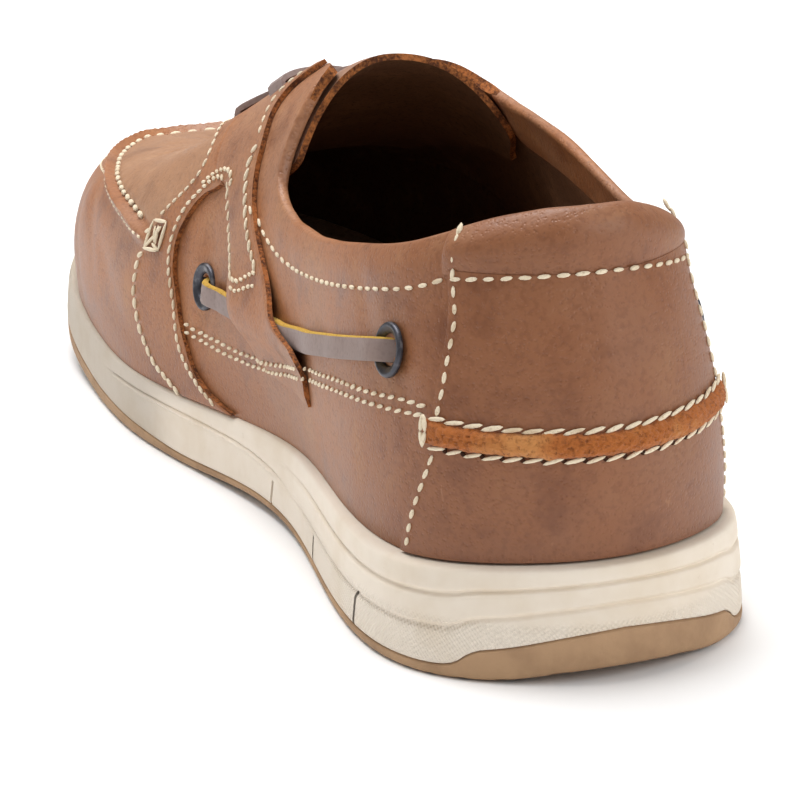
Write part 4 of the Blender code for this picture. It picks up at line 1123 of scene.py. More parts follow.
@dataclass
class Saddle:
    """Saddle on one side: a wing, the stay above it and a strap over the side lace."""

    side: Side
    finishes: Finishes
    thickness: float = 0.0013
    seat: float = 0.0001
    cover: float = 0.0021
    outer_corner: float = 0.030
    steps: tuple[int, int, int] = (16, 9, 22)
    wing_top: float = 0.456
    strap_start: float = 0.122
    top_row: float = 0.826
    skive: float = 0.0025
    mouth: float = 0.0050
    bulge_spread: float = 0.065
    bulge_span: Sequence[float] = (0.474, 0.520)
    bulge_low: Sequence[float] = (0.15, 0.20)
    raw_fall: float = 0.00022
    front: Table = (
        (0.006, 0.530), (0.024, 0.541), (0.044, 0.555), (0.072, 0.565), (0.106, 0.573), (0.144, 0.578),
        (0.190, 0.582), (0.238, 0.582), (0.290, 0.578), (0.350, 0.573), (0.400, 0.565), (0.455, 0.555),
        (0.500, 0.553), (0.560, 0.558), (0.620, 0.570), (0.700, 0.593), (0.780, 0.620), (0.845, 0.636),
    )
    wing: Table = (
        (0.006, 0.474), (0.018, 0.488), (0.032, 0.499), (0.050, 0.507), (0.074, 0.514), (0.100, 0.519),
        (0.150, 0.528), (0.200, 0.535), (0.256, 0.541), (0.316, 0.543), (0.374, 0.540), (0.410, 0.536),
        (0.436, 0.529), (0.456, 0.516), (0.500, 0.530), (0.700, 0.566), (0.845, 0.592),
    )
    strap: Table = (
        (0.006, 0.420), (0.112, 0.424), (0.150, 0.447), (0.200, 0.464), (0.250, 0.473), (0.290, 0.480),
        (0.330, 0.488), (0.382, 0.498), (0.430, 0.508), (0.456, 0.513), (0.500, 0.514), (0.600, 0.520),
        (0.700, 0.530), (0.845, 0.545),
    )
    rear: Table = (
        (0.006, 0.352), (0.112, 0.352), (0.150, 0.356), (0.188, 0.361), (0.206, 0.370), (0.218, 0.392),
        (0.236, 0.408), (0.264, 0.417), (0.316, 0.436), (0.376, 0.455), (0.436, 0.469), (0.508, 0.480),
        (0.548, 0.485), (0.600, 0.494), (0.645, 0.502), (0.700, 0.509), (0.750, 0.512), (0.785, 0.508),
        (0.810, 0.500), (0.826, 0.496),
    )

    def edges(self, rises: Array) -> list[Array]:
        """Turns of the front edge, the wing's rear, and the strap's front and rear at each rise."""
        turns = [eased(table, 1, rises) for table in (self.front, self.wing, self.strap, self.rear)]
        if self.side is Side.OUTER:
            turns[3] = turns[3] + self.outer_corner * ramp(rises, 0.60, 0.80)
        return turns

    def layers(self, turns: Array, rises: Array) -> tuple[Array, Array]:
        """Heights of the underside and the top over the upper's skin.

        Args:
            turns: Turns of the places, without their side.
            rises: Rises of the places.

        Returns:
            The heights of the underside and of the top.
        """
        edges = self.edges(rises)
        metres = pi / 2 * LAST.length
        strap = turns <= (edges[1] + edges[2]) / 2
        low = strap & (rises < self.wing_top + 0.004)
        skived = 0.25 + 0.75 * ramp((edges[0] - turns) * metres, 0.0, self.skive)
        mouth = 0.16 + 0.84 * ramp((edges[2] - turns) * metres, 0.0, self.mouth)
        thin = np.where(low, mouth, skived)
        foot = ramp(rises, self.strap_start, self.strap_start + 0.02)
        thin = thin * np.where(strap, 0.60 + 0.40 * foot, 1.0)
        bulge = hump(rises - LAST.lace_rise(turns), (0.0, self.bulge_spread, self.cover))
        bulge = bulge * (1 - ramp(turns, *self.bulge_span)) * ramp(rises, *self.bulge_low)
        seat = self.seat + bulge * strap
        return seat, seat + self.thickness * thin

    def height(self, turns: Array, rises: Array) -> Array:
        """Height of the top over the upper's skin, and 0 where the saddle isn't."""
        edges = self.edges(rises)
        wing = (turns <= edges[0]) & (turns >= edges[1])
        bridge = (turns < edges[1]) & (turns > edges[2]) & (rises > self.wing_top)
        strap = (turns <= edges[2]) & (turns >= edges[3]) & (rises > self.strap_start)
        return np.where(wing | bridge | strap, self.layers(turns, rises)[1], 0.0)

    def build(self) -> bpy.types.Object:
        """Build the saddle and dress it."""
        rises = np.concatenate([np.linspace(0.006, self.strap_start, 11)[:-1],
                                np.linspace(self.strap_start, self.wing_top, 36)[:-1],
                                np.linspace(self.wing_top, self.top_row, 36)])[:, None]
        edges = self.edges(rises)
        columns = [edges[0]]
        for start, end, count in zip(edges, edges[1:], self.steps):
            share = np.linspace(0, 1, count + 1)[1:]
            columns.append(start * (1 - share) + end * share)
        turns = np.concatenate(columns, 1)
        rises = np.broadcast_to(rises, turns.shape)
        first, second = self.steps[0], self.steps[0] + self.steps[1]
        keep = np.ones((turns.shape[0] - 1, turns.shape[1] - 1), bool)
        middle = (rises[:-1, 0] + rises[1:, 0]) / 2
        keep[middle < self.wing_top, first:second] = False
        keep[middle < self.strap_start, second:] = False
        seat, top = self.layers(turns, rises)
        turns = self.side.value * turns
        skin = LAST.skin(turns, rises)
        raw = np.zeros(turns.shape, bool)
        raw[:, first] = raw[:, -1] = raw[-1, :] = True
        seat, top = skin + seat, skin + np.maximum(top - self.raw_fall * raw, seat + self.seat)
        piece = Bench.panel(f"saddle_{self.side.word}_leather", LAST.offset(turns, rises, top),
                            LAST.offset(turns, rises, seat), keep, raw)
        Bench.dress(piece, [self.finishes.leather, self.finishes.lining, self.finishes.cut],
                    "leather", [f"saddle_{self.side.word}"])
        return piece


@dataclass
class HeelCounter:
    """Heel panel, padded collar band and the raised suede tape across them."""

    finishes: Finishes
    seam: Table = (
        (0.004, 0.197), (0.080, 0.186), (0.138, 0.174), (0.193, 0.162), (0.269, 0.158),
        (0.348, 0.153), (0.407, 0.152), (0.462, 0.156), (0.480, 0.157),
    )
    thickness: float = 0.0012
    band_turn: float = 0.165
    band_low: float = 0.470
    band_thickness: float = 0.0018
    band_radius: float = 0.0011
    gap: float = 0.0001
    raw_fall: float = 0.0002
    tape_turn: float = 0.163
    tape_half: float = 0.0195
    tape_thickness: float = 0.0018
    fray: float = 0.0030
    nap: float = 0.00012

    def build(self) -> None:
        """Build the three pieces."""
        self.build_panel()
        self.build_band()
        self.build_tape()

    def build_panel(self) -> None:
        """Build the heel panel with its raw side edges."""
        share = np.linspace(-1, 1, 81)
        rises = np.broadcast_to(np.linspace(0.004, 0.478, 44)[:, None], (44, 81))
        turns = smooth(self.seam, 1, rises) * share
        seat = LAST.skin(turns, rises) + self.gap
        raw = np.broadcast_to(np.abs(share) == 1, turns.shape)
        top = seat + self.thickness - self.raw_fall * raw
        piece = Bench.panel("heel_panel_leather", LAST.offset(turns, rises, top),
                            LAST.offset(turns, rises, seat), None, raw)
        Bench.dress(piece, [self.finishes.leather, self.finishes.lining, self.finishes.cut],
                    "leather", ["heel_panel"])

    def build_band(self) -> None:
        """Build the padded band round the back of the collar."""
        share = np.linspace(-1, 1, 91)
        rise = np.linspace(0, 1, 26)[:, None]
        turns = np.broadcast_to(self.band_turn * share, (26, 91))
        rises = self.band_low + (LAST.edge_rise(turns) - 0.003 - self.band_low) * rise
        ends = np.sqrt(np.clip(1 - np.abs(share)**14, 0, 1))
        puff = np.sin(pi * (0.06 + 0.90 * rise))**0.8 * (0.35 + 0.65 * ends)
        seat = LAST.skin(turns, rises) - lip(turns, rises, self.band_radius) + self.gap
        top = seat + 0.0002 + self.band_thickness * puff
        piece = Bench.panel("collar_band_leather", LAST.offset(turns, rises, top),
                            LAST.offset(turns, rises, seat), None, np.zeros(turns.shape, bool))
        Bench.dress(piece, [self.finishes.leather, self.finishes.lining, self.finishes.cut],
                    "leather", ["collar_band"])

    @staticmethod
    def tape_rise(share: Array) -> Array:
        """Rise of the middle of the tape."""
        return 0.209 + 0.020 * (share**2 - 0.45)

    def build_tape(self) -> None:
        """Build the napped tape, frayed at its edges."""
        chance = np.random.default_rng(5)
        share = np.linspace(-1, 1, 181)
        across = np.linspace(-1, 1, 15)[:, None]
        fray = self.fray * np.convolve(chance.normal(size=185), np.ones(5) / 5, "valid")
        rises = self.tape_rise(share) + (self.tape_half + fray) * across
        turns = np.broadcast_to(self.tape_turn * share, rises.shape)
        nap = self.nap * chance.normal(size=rises.shape)
        crown = 1 - 0.72 * np.abs(across)**3
        seat = LAST.skin(turns, rises) + self.thickness + self.gap
        top = seat + self.tape_thickness * crown * (0.45 + 0.55 * (1 - np.abs(share)**20)) + nap
        piece = Bench.panel("heel_tape_suede", LAST.offset(turns, rises, top),
                            LAST.offset(turns, rises, seat))
        Bench.dress(piece, [self.finishes.tape] * 3, "tape", ["heel_tape"])


@dataclass
class Tongue:
    """Tongue under the throat, with raw edges and a dark lining."""

    finishes: Finishes
    rear: float = 0.435
    sweep: float = -0.018
    front: float = 0.670
    side_rise: float = 0.460
    corner: float = 0.040
    taper: float = 0.350
    thickness: float = 0.0026
    under: float = 0.0027

    def build(self) -> bpy.types.Object:
        """Build the tongue and dress it."""
        around = np.linspace(-1, 1, 101)
        side = np.where(around < 0, -1.0, 1.0)
        down = np.linspace(0, 1, 61)[:, None]
        rear = self.rear + self.sweep * around**2 + self.corner * ramp(np.abs(around), 0.82, 1.0)**2
        distance = LAST.length * (rear + (self.front - rear) * down)
        rises = 1 - np.abs(around) * (1 - self.side_rise) * (1 - self.taper * down)
        turns = LAST.turn_at(distance, rises, side)
        roll = 0.0006 * np.exp(-(down / 0.05)**2)
        wave = 0.0003 * np.sin(7 * around + 9 * down) * np.sin(pi * down)
        outer = LAST.offset(turns, rises, -self.under + wave - roll)
        inner = LAST.offset(turns, rises, -self.under - self.thickness + roll + wave + 0 * turns)
        piece = Bench.panel("tongue_leather", outer, inner)
        Bench.dress(piece, [self.finishes.facing, self.finishes.lining, self.finishes.cut],
                    "leather", ["tongue"])
        return piece


@dataclass
class Sole:
    """Cream midsole on a thin tan outsole that wraps up round the heel, and the footbed."""

    finishes: Finishes
    columns: int = 230
    heel_side: Table = (
        (0.000, 0.20), (0.006, 0.42), (0.018, 0.58), (0.040, 0.68), (0.080, 0.735), (0.130, 0.765),
        (0.200, 0.800), (0.232, 0.800), (0.250, 0.740), (0.262, 0.640), (0.275, 0.590), (0.290, 0.620),
        (0.303, 0.740), (0.320, 0.835), (0.345, 0.870), (0.450, 0.910), (0.540, 0.950), (0.570, 0.940),
        (0.586, 0.860), (0.600, 0.760), (0.615, 0.735), (0.630, 0.760), (0.645, 0.830), (0.665, 0.900),
        (0.720, 0.945), (0.820, 0.965), (0.920, 0.988), (0.965, 0.990), (0.990, 0.960), (1.000, 0.915),
    )
    fore_side: Table = (
        (0.000, 0.20), (0.020, 0.42), (0.060, 0.56), (0.130, 0.68), (0.250, 0.78), (0.360, 0.815),
        (0.500, 0.860), (0.620, 0.905), (0.760, 0.940), (0.900, 0.985), (0.965, 0.990), (1.000, 0.930),
    )
    hook: Table = ((0.385, 0.66), (0.430, 0.48), (0.480, 0.33), (0.545, 0.26), (0.600, 0.30), (0.640, 0.44))
    line: Sequence[float] = (0.0, 0.020, 0.00045)
    swell: Sequence[float] = (0.045, 0.022, 0.00025)
    heel_end: Sequence[float] = (0.28, 0.40)
    line_start: Sequence[float] = (0.385, 0.430)
    line_end: Sequence[float] = (0.600, 0.640)
    side_rows: Table = ((0, 0.06, 6), (0.08, 0.23, 8), (0.24, 0.36, 16), (0.38, 0.56, 9),
                        (0.575, 0.68, 14), (0.70, 0.94, 9), (0.955, 1.0, 6))
    core_height: float = 0.0035
    edge_radius: float = 0.0014
    notches: Table = ((0.146, 0.0076), (0.273, 0.0062), (0.391, 0.0056))
    notch_size: Sequence[float] = (0.0040, 0.0011)
    notch_lean: float = 0.25

    def frame(self) -> None:
        """Work out the rows that the two bodies share."""
        self.turn = LAST.ring(self.columns)
        self.plan, self.out = LAST.outline(self.turn), LAST.outward(self.turn)
        self.share = LAST.along(self.turn) / LAST.length
        self.middle = LAST.midline(self.turn)
        self.middle_share = self.middle[..., 1] / LAST.length
        self.floor, self.floor_middle = LAST.ground(self.share), LAST.ground(self.middle_share)
        self.rim_height = eased(LAST.rim, 1, np.abs(self.turn)) * LAST.sole_height
        self.rim = self.floor + self.rim_height
        self.core = np.minimum(self.rim_height, self.core_height)
        place = LAST.turn_of(self.middle_share)
        self.core_middle = np.minimum(eased(LAST.rim, 1, place) * LAST.sole_height, self.core_height)

    def row(self, plan: Array, height: Array) -> Array:
        """Row of points from its plan and its height."""
        return np.concatenate([plan, np.broadcast_to(height, self.turn.shape)[..., None]], -1)

    def inside(self, distance: float) -> Array:
        """Plan at a distance inside the outline."""
        return self.plan - self.out * distance

    def build(self) -> None:
        """Build the midsole and the outsole, and dress the insole."""
        self.frame()
        self.build_outsole()
        self.build_midsole()
        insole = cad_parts["insole"]
        for slot in insole.material_slots:
            slot.material = self.finishes.footbed

    def build_outsole(self) -> None:
        """Build the tan outsole with a rounded lower edge."""
        rows = [self.row(self.middle, self.floor_middle + self.core_middle),
                self.row(self.inside(0.0046), self.floor + self.core),
                self.row(self.inside(0.0024), self.rim),
                self.row(self.inside(0.0006), self.rim),
                self.row(self.inside(0.0002), self.rim - np.minimum(0.0002, self.rim_height / 4))]
        low = np.minimum(self.edge_radius, self.rim_height / 2)
        for share in np.linspace(0, 1, 7):
            side = (self.rim_height - low - 0.0004) * (1 - share)
            rows.append(self.row(self.plan, self.floor + low + side))
        for angle in np.linspace(0, pi / 2, 7)[1:]:
            plan = self.inside(self.edge_radius * (1 - cos(angle)))
            rows.append(self.row(plan, self.floor + low * (1 - sin(angle))))
        for share in np.linspace(0, 1, 16)[1:]:
            plan = self.inside(self.edge_radius) * (1 - share) + self.middle * share
            rows.append(self.row(plan, self.floor * (1 - share) + self.floor_middle * share))
        piece = Bench.body("outsole_rubber", rows)
        Bench.dress(piece, [self.finishes.rubber], "rubber", ["outsole"])

    def build_midsole(self) -> None:
        """Build the midsole with its ledges, its moulded line and its slanting notches."""
        edge = LAST.feather(self.turn)
        reach = self.plan - edge[..., :2]
        top = edge[..., 2] - 0.0001
        drop = top - self.rim - 0.0001
        heel = 1 - ramp(self.share, *self.heel_end)
        middle_top = smooth(LAST.feather_table, 1, self.middle_share) * LAST.sole_height - 0.0012
        rows = [self.row(self.middle, middle_top - 0.0008), self.row(edge[..., :2] - self.out * 0.0035, top)]
        hook = eased(self.hook, 1, np.abs(self.turn))
        on = ramp(np.abs(self.turn), *self.line_start) * (1 - ramp(np.abs(self.turn), *self.line_end))
        for down in spread(*self.side_rows):
            way = (np.interp(down, *np.array(self.heel_side).T) * heel
                   + np.interp(down, *np.array(self.fore_side).T) * (1 - heel))
            mould = (hump(down - hook, self.line) - hump(down - hook, self.swell)) * on * (1 - heel)
            plan = edge[..., :2] + reach * way[..., None] - self.out * mould[..., None]
            rows.append(self.row(plan, top - drop * down))
        rows += [self.row(self.inside(0.0027), self.rim + 0.0002),
                 self.row(self.inside(0.0049), self.floor + self.core + 0.0003),
                 self.row(self.middle, self.floor_middle + self.core_middle + 0.0008)]
        piece = Bench.body("midsole_foam", rows)
        for side in Side:
            for share, height in self.notches:
                self.notch(piece, side, share, height)
        piece.data.materials.clear()
        Bench.dress(piece, [self.finishes.foam], "foam", ["midsole"])

    def notch(self, piece: bpy.types.Object, side: Side, share: float, height: float) -> None:
        """Cut one slanting notch up from the lower edge of the midsole.

        Args:
            piece: The midsole.
            side: Side of the foot.
            share: Share of the length where the notch is.
            height: How far the notch rises, in metres.
        """
        turn = side.value * float(LAST.turn_of(share))
        spot, away = LAST.outline(turn), LAST.outward(turn)
        low = float(LAST.ground(share) + eased(LAST.rim, 1, abs(turn)) * LAST.sole_height)
        Bench.rest()
        bpy.ops.mesh.primitive_cube_add(
            size=1.0, location=(spot[0] - ORIGIN[0], spot[1] - ORIGIN[1], low),
            rotation=(self.notch_lean * side.value, 0, float(np.arctan2(away[1], away[0]))))
        cutter = bpy.context.object
        cutter.scale = (*self.notch_size, 2 * height)
        bpy.ops.object.transform_apply(location=True, rotation=True, scale=True)
        Bench.finish(piece, "BOOLEAN", operation="DIFFERENCE", solver="EXACT", object=cutter)
        bpy.data.objects.remove(cutter, do_unlink=True)


@dataclass
class Eyelet:
    """Rolled gunmetal eyelet of a side lace."""

    side: Side
    spot: str
    turn: float
    rise: float
    finishes: Finishes
    radius: float = 0.0052
    bore: float = 0.0030
    barrel: float = 0.0034
    wall: float = 0.0030

    def profile(self) -> list[tuple[float, float]]:
        """Heights and radii once round the section, from the outer edge over the lip."""
        radius, bore = self.radius, self.bore
        return [(-0.0002, radius), (0.0002, radius * 1.005), (0.0005, radius * 0.985),
                (0.00072, radius * 0.94), (0.00078, radius * 0.89),
                (0.00072, radius * 0.84), (0.00058, radius * 0.79),
                (0.00044, radius * 0.73), (0.00034, radius * 0.67), (0.0001, bore * 1.06), (-0.0005, bore),
                (-self.wall, bore), (-self.wall, self.barrel), (-0.0004, self.barrel)]

    def build(self) -> bpy.types.Object:
        """Turn the eyelet from its section and seat it."""
        profile = self.profile()
        Bench.rest()
        height, radius = profile[0]
        bpy.ops.mesh.primitive_circle_add(vertices=40, radius=radius, location=(0, 0, height))
        piece = bpy.context.object
        bpy.ops.object.transform_apply(location=True, rotation=True, scale=True)
        bpy.context.tool_settings.mesh_select_mode = (False, True, False)
        bpy.ops.object.mode_set(mode="EDIT")
        bpy.ops.mesh.select_all(action="SELECT")
        for (height, radius), (next_height, next_radius) in zip(profile, profile[1:] + profile[:1]):
            bpy.ops.mesh.extrude_edges_move(TRANSFORM_OT_translate={"value": (0, 0, next_height - height)})
            ratio = next_radius / radius
            bpy.ops.transform.resize(value=(ratio, ratio, 1), center_override=(0, 0, 0))
        bpy.ops.mesh.select_all(action="SELECT")
        bpy.ops.mesh.remove_doubles(threshold=1e-6)
        bpy.ops.mesh.normals_make_consistent(inside=False)
        bpy.ops.object.mode_set(mode="OBJECT")
        point, first, second, normal = frame_at(self.side.value * self.turn, self.rise)
        lift = LAST.skin(self.side.value * self.turn, self.rise) + 0.0004
        place = np.eye(4)
        place[:3, :3] = np.stack([first, second, normal], 1)
        place[:3, 3] = point + normal * lift - ORIGIN
        piece.data.transform(Matrix(place.tolist()))
        piece.name = piece.data.name = f"eyelet_{self.side.word}_{self.spot}_ring"
        Bench.done(piece, 0.9)
        Bench.dress(piece, [self.finishes.metal], "metal", [f"eyelet_{self.side.word}_{self.spot}"])
        return piece


def frame_at(turn: float, rise: float) -> tuple[Array, Array, Array, Array]:
    """Point of the last with its two tangents and its normal."""
    small = 1e-3
    point, normal = LAST.point(turn, rise), LAST.normal(turn, rise)
    back = LAST.point(turn - small, rise) - LAST.point(turn + small, rise)
    back = back - normal * (back @ normal)
    back = back / np.linalg.norm(back)
    return point, back, np.cross(normal, back), normal


@dataclass
class Laces:
    """Flat leather laces: one along each side and the runs over the throat."""

    finishes: Finishes
    width: float = 0.0046
    thickness: float = 0.0015
    front: tuple[float, float] = (0.507, 0.232)
    rear: tuple[float, float] = (0.220, 0.325)
    throat_front: tuple[float, float] = (0.590, 0.745)
    throat_rear: tuple[float, float] = (0.532, 0.745)
    side_dive: Table = ((0, -0.0024), (0.0012, -0.0004), (0.0026, 0.0010), (0.0050, 0.0014),
                        (0.0068, 0.0012), (0.0110, 0.0005), (0.0150, 0.0002))
    throat_dive: Table = ((0, -0.0030), (0.03, -0.0004), (0.10, 0.0018), (1, 0.0018))
    cross_spread: float = 0.30
    smoothing: int = 9
    wave: float = 0.0003

    def build(self) -> None:
        """Build every run of lace."""
        for side in Side:
            self.build_side(side)
        self.build_throat()

    def strap(self, name: str, path: Array, normal: Array) -> bpy.types.Object:
        """Lay a flat lace along a path.

        Args:
            name: Name of the piece.
            path: Middle of the lace's underside.
            normal: Direction out of the shoe along the path.

        Returns:
            The lace, with its cut edges on the rim.
        """
        ahead = np.gradient(path, axis=0)
        across = np.cross(normal, ahead)
        across = across / np.linalg.norm(across, axis=1, keepdims=True)
        up = np.cross(ahead, across)
        up = up / np.linalg.norm(up, axis=1, keepdims=True)
        share = np.array([-1.0, -0.84, -0.5, 0.0, 0.5, 0.84, 1.0])[:, None, None]
        round_off = np.where(np.abs(share) == 1, 0.00018, 0.0)
        low = path + across * share * self.width / 2
        top = low + up * (self.thickness - round_off)
        piece = Bench.panel(name, top, low + up * round_off)
        spot = Bench.spots(piece.data) // len(path)
        upper = {5, 6} if across[:, 2].mean() > 0 else {0, 1}
        for face in piece.data.polygons:
            if set(spot[list(face.vertices)]) <= upper:
                face.material_index = 2
        return piece

    def build_side(self, side: Side) -> None:
        """Build the lace between the two eyelets of one side, and into their bores."""
        share = np.linspace(0, 1, 150)
        turn = side.value * (self.front[0] + (self.rear[0] - self.front[0]) * share)
        rise = LAST.lace_rise(turn)
        track = LAST.point(turn, rise)
        run = np.concatenate([[0], np.cumsum(np.linalg.norm(np.diff(track, axis=0), axis=1))])
        near = np.minimum(run, run[-1] - run)
        away = np.interp(near, *np.array(self.side_dive).T)
        kernel = np.hanning(self.smoothing)
        away = np.convolve(np.pad(away, self.smoothing // 2, mode="edge"), kernel / kernel.sum(), "valid")
        away = away + self.wave * np.sin(0.9 + 34 * share) * ramp(near, 0.015, 0.03)
        path = LAST.offset(turn, rise, LAST.skin(turn, rise) + np.maximum(away, self.side_dive[0][1]))
        piece = self.strap(f"side_lace_{side.word}_leather", path, LAST.normal(turn, rise))
        Bench.dress(piece, [self.finishes.lace, self.finishes.lace, self.finishes.lace_edge],
                    "lace", [f"side_lace_{side.word}"])

    def build_throat(self) -> None:
        """Build the bar and the two crossing runs over the throat."""
        share = np.linspace(-1, 1, 61)
        side = np.where(share < 0, -1.0, 1.0)
        rise = 1 - np.abs(share) * (1 - self.throat_front[1])
        front = [float(LAST.point(sign * self.throat_front[0], self.throat_front[1])[1]) for sign in (-1, 1)]
        rear = [float(LAST.point(sign * self.throat_rear[0], self.throat_rear[1])[1]) for sign in (-1, 1)]
        runs = ((front[0], front[1], 0.0), (front[0], rear[1], 0.0002), (rear[0], front[1], 0.0012))
        pieces = []
        for start, end, level in runs:
            turn = LAST.turn_at(start + (end - start) * (share + 1) / 2, rise, side)
            dive = np.interp(1 - np.abs(share), *np.array(self.throat_dive).T)
            away = LAST.relief(turn, rise) + dive + hump(share, (0.0, self.cross_spread, level))
            path = LAST.offset(turn, rise, away)
            pieces.append(self.strap("throat_lace_run", path, LAST.normal(turn, rise)))
        Bench.take(pieces[0])
        for piece in pieces[1:]:
            piece.select_set(True)
        bpy.ops.object.join()
        pieces[0].name = pieces[0].data.name = "throat_lace_leather"
        Bench.dress(pieces[0], [self.finishes.lace, self.finishes.lace, self.finishes.lace_edge],
                    "lace", ["throat_lace"])


@dataclass(frozen=True)
class Stitch:
    """Kind of stitch, in metres; the lift says how far its leather stands over the upper."""

    lift: float
    pitch: float
    length: float
    width: float
    lay: Lay = Lay.RUN
    holes: bool = False
    puff: float = 0.8


PANEL_LIFT = 0.00135
APRON_STITCH = Stitch(0.0002, 0.00445, 0.0029, 0.0014, Lay.RUN, holes=True, puff=1.0)
UNDER_STITCH = Stitch(0.0, 0.0030, 0.0019, 0.0007)
CORD_STITCH = Stitch(0.0006, 0.0029, 0.0027, 0.0012, Lay.TWIST)
STAY_STITCH = Stitch(PANEL_LIFT, 0.0027, 0.0020, 0.0008)
WING_STITCH = Stitch(PANEL_LIFT, 0.0024, 0.0022, 0.0009, Lay.TWIST)
ARCH_STITCH = Stitch(PANEL_LIFT, 0.0020, 0.0019, 0.0009, Lay.ROPE)
STRAP_FRONT_STITCH = Stitch(0.0, 0.0024, 0.0025, 0.0008, Lay.ROPE)
STRAP_REAR_STITCH = Stitch(0.0, 0.0028, 0.0028, 0.0010, Lay.ROPE)
BOX_INNER_STITCH = Stitch(0.0, 0.0020, 0.0020, 0.0009, Lay.ROPE)
BOX_OUTER_STITCH = Stitch(0.0, 0.0020, 0.0018, 0.0009, Lay.RUN)
SIDE_STITCH = Stitch(0.0, 0.0032, 0.0026, 0.0008, Lay.BACK)
HEEL_STITCH = Stitch(PANEL_LIFT, 0.0029, 0.0022, 0.0009)
BAND_STITCH = Stitch(PANEL_LIFT, 0.0033, 0.0026, 0.0009)
TAPE_TOP_STITCH = Stitch(PANEL_LIFT + 0.0003, 0.0036, 0.0042, 0.0009, Lay.TWIST)
TAPE_LOW_STITCH = Stitch(PANEL_LIFT + 0.0003, 0.0036, 0.0042, 0.0008, Lay.TWIST, holes=True)
COLLAR_STITCH = Stitch(0.0, 0.0040, 0.0028, 0.0009)


@dataclass(frozen=True)
class Row:
    """Row of stitches through pairs of turn and rise on one side."""

    name: str
    points: Table
    stitch: Stitch
    sides: tuple[Side, ...] = (Side.INNER, Side.OUTER)


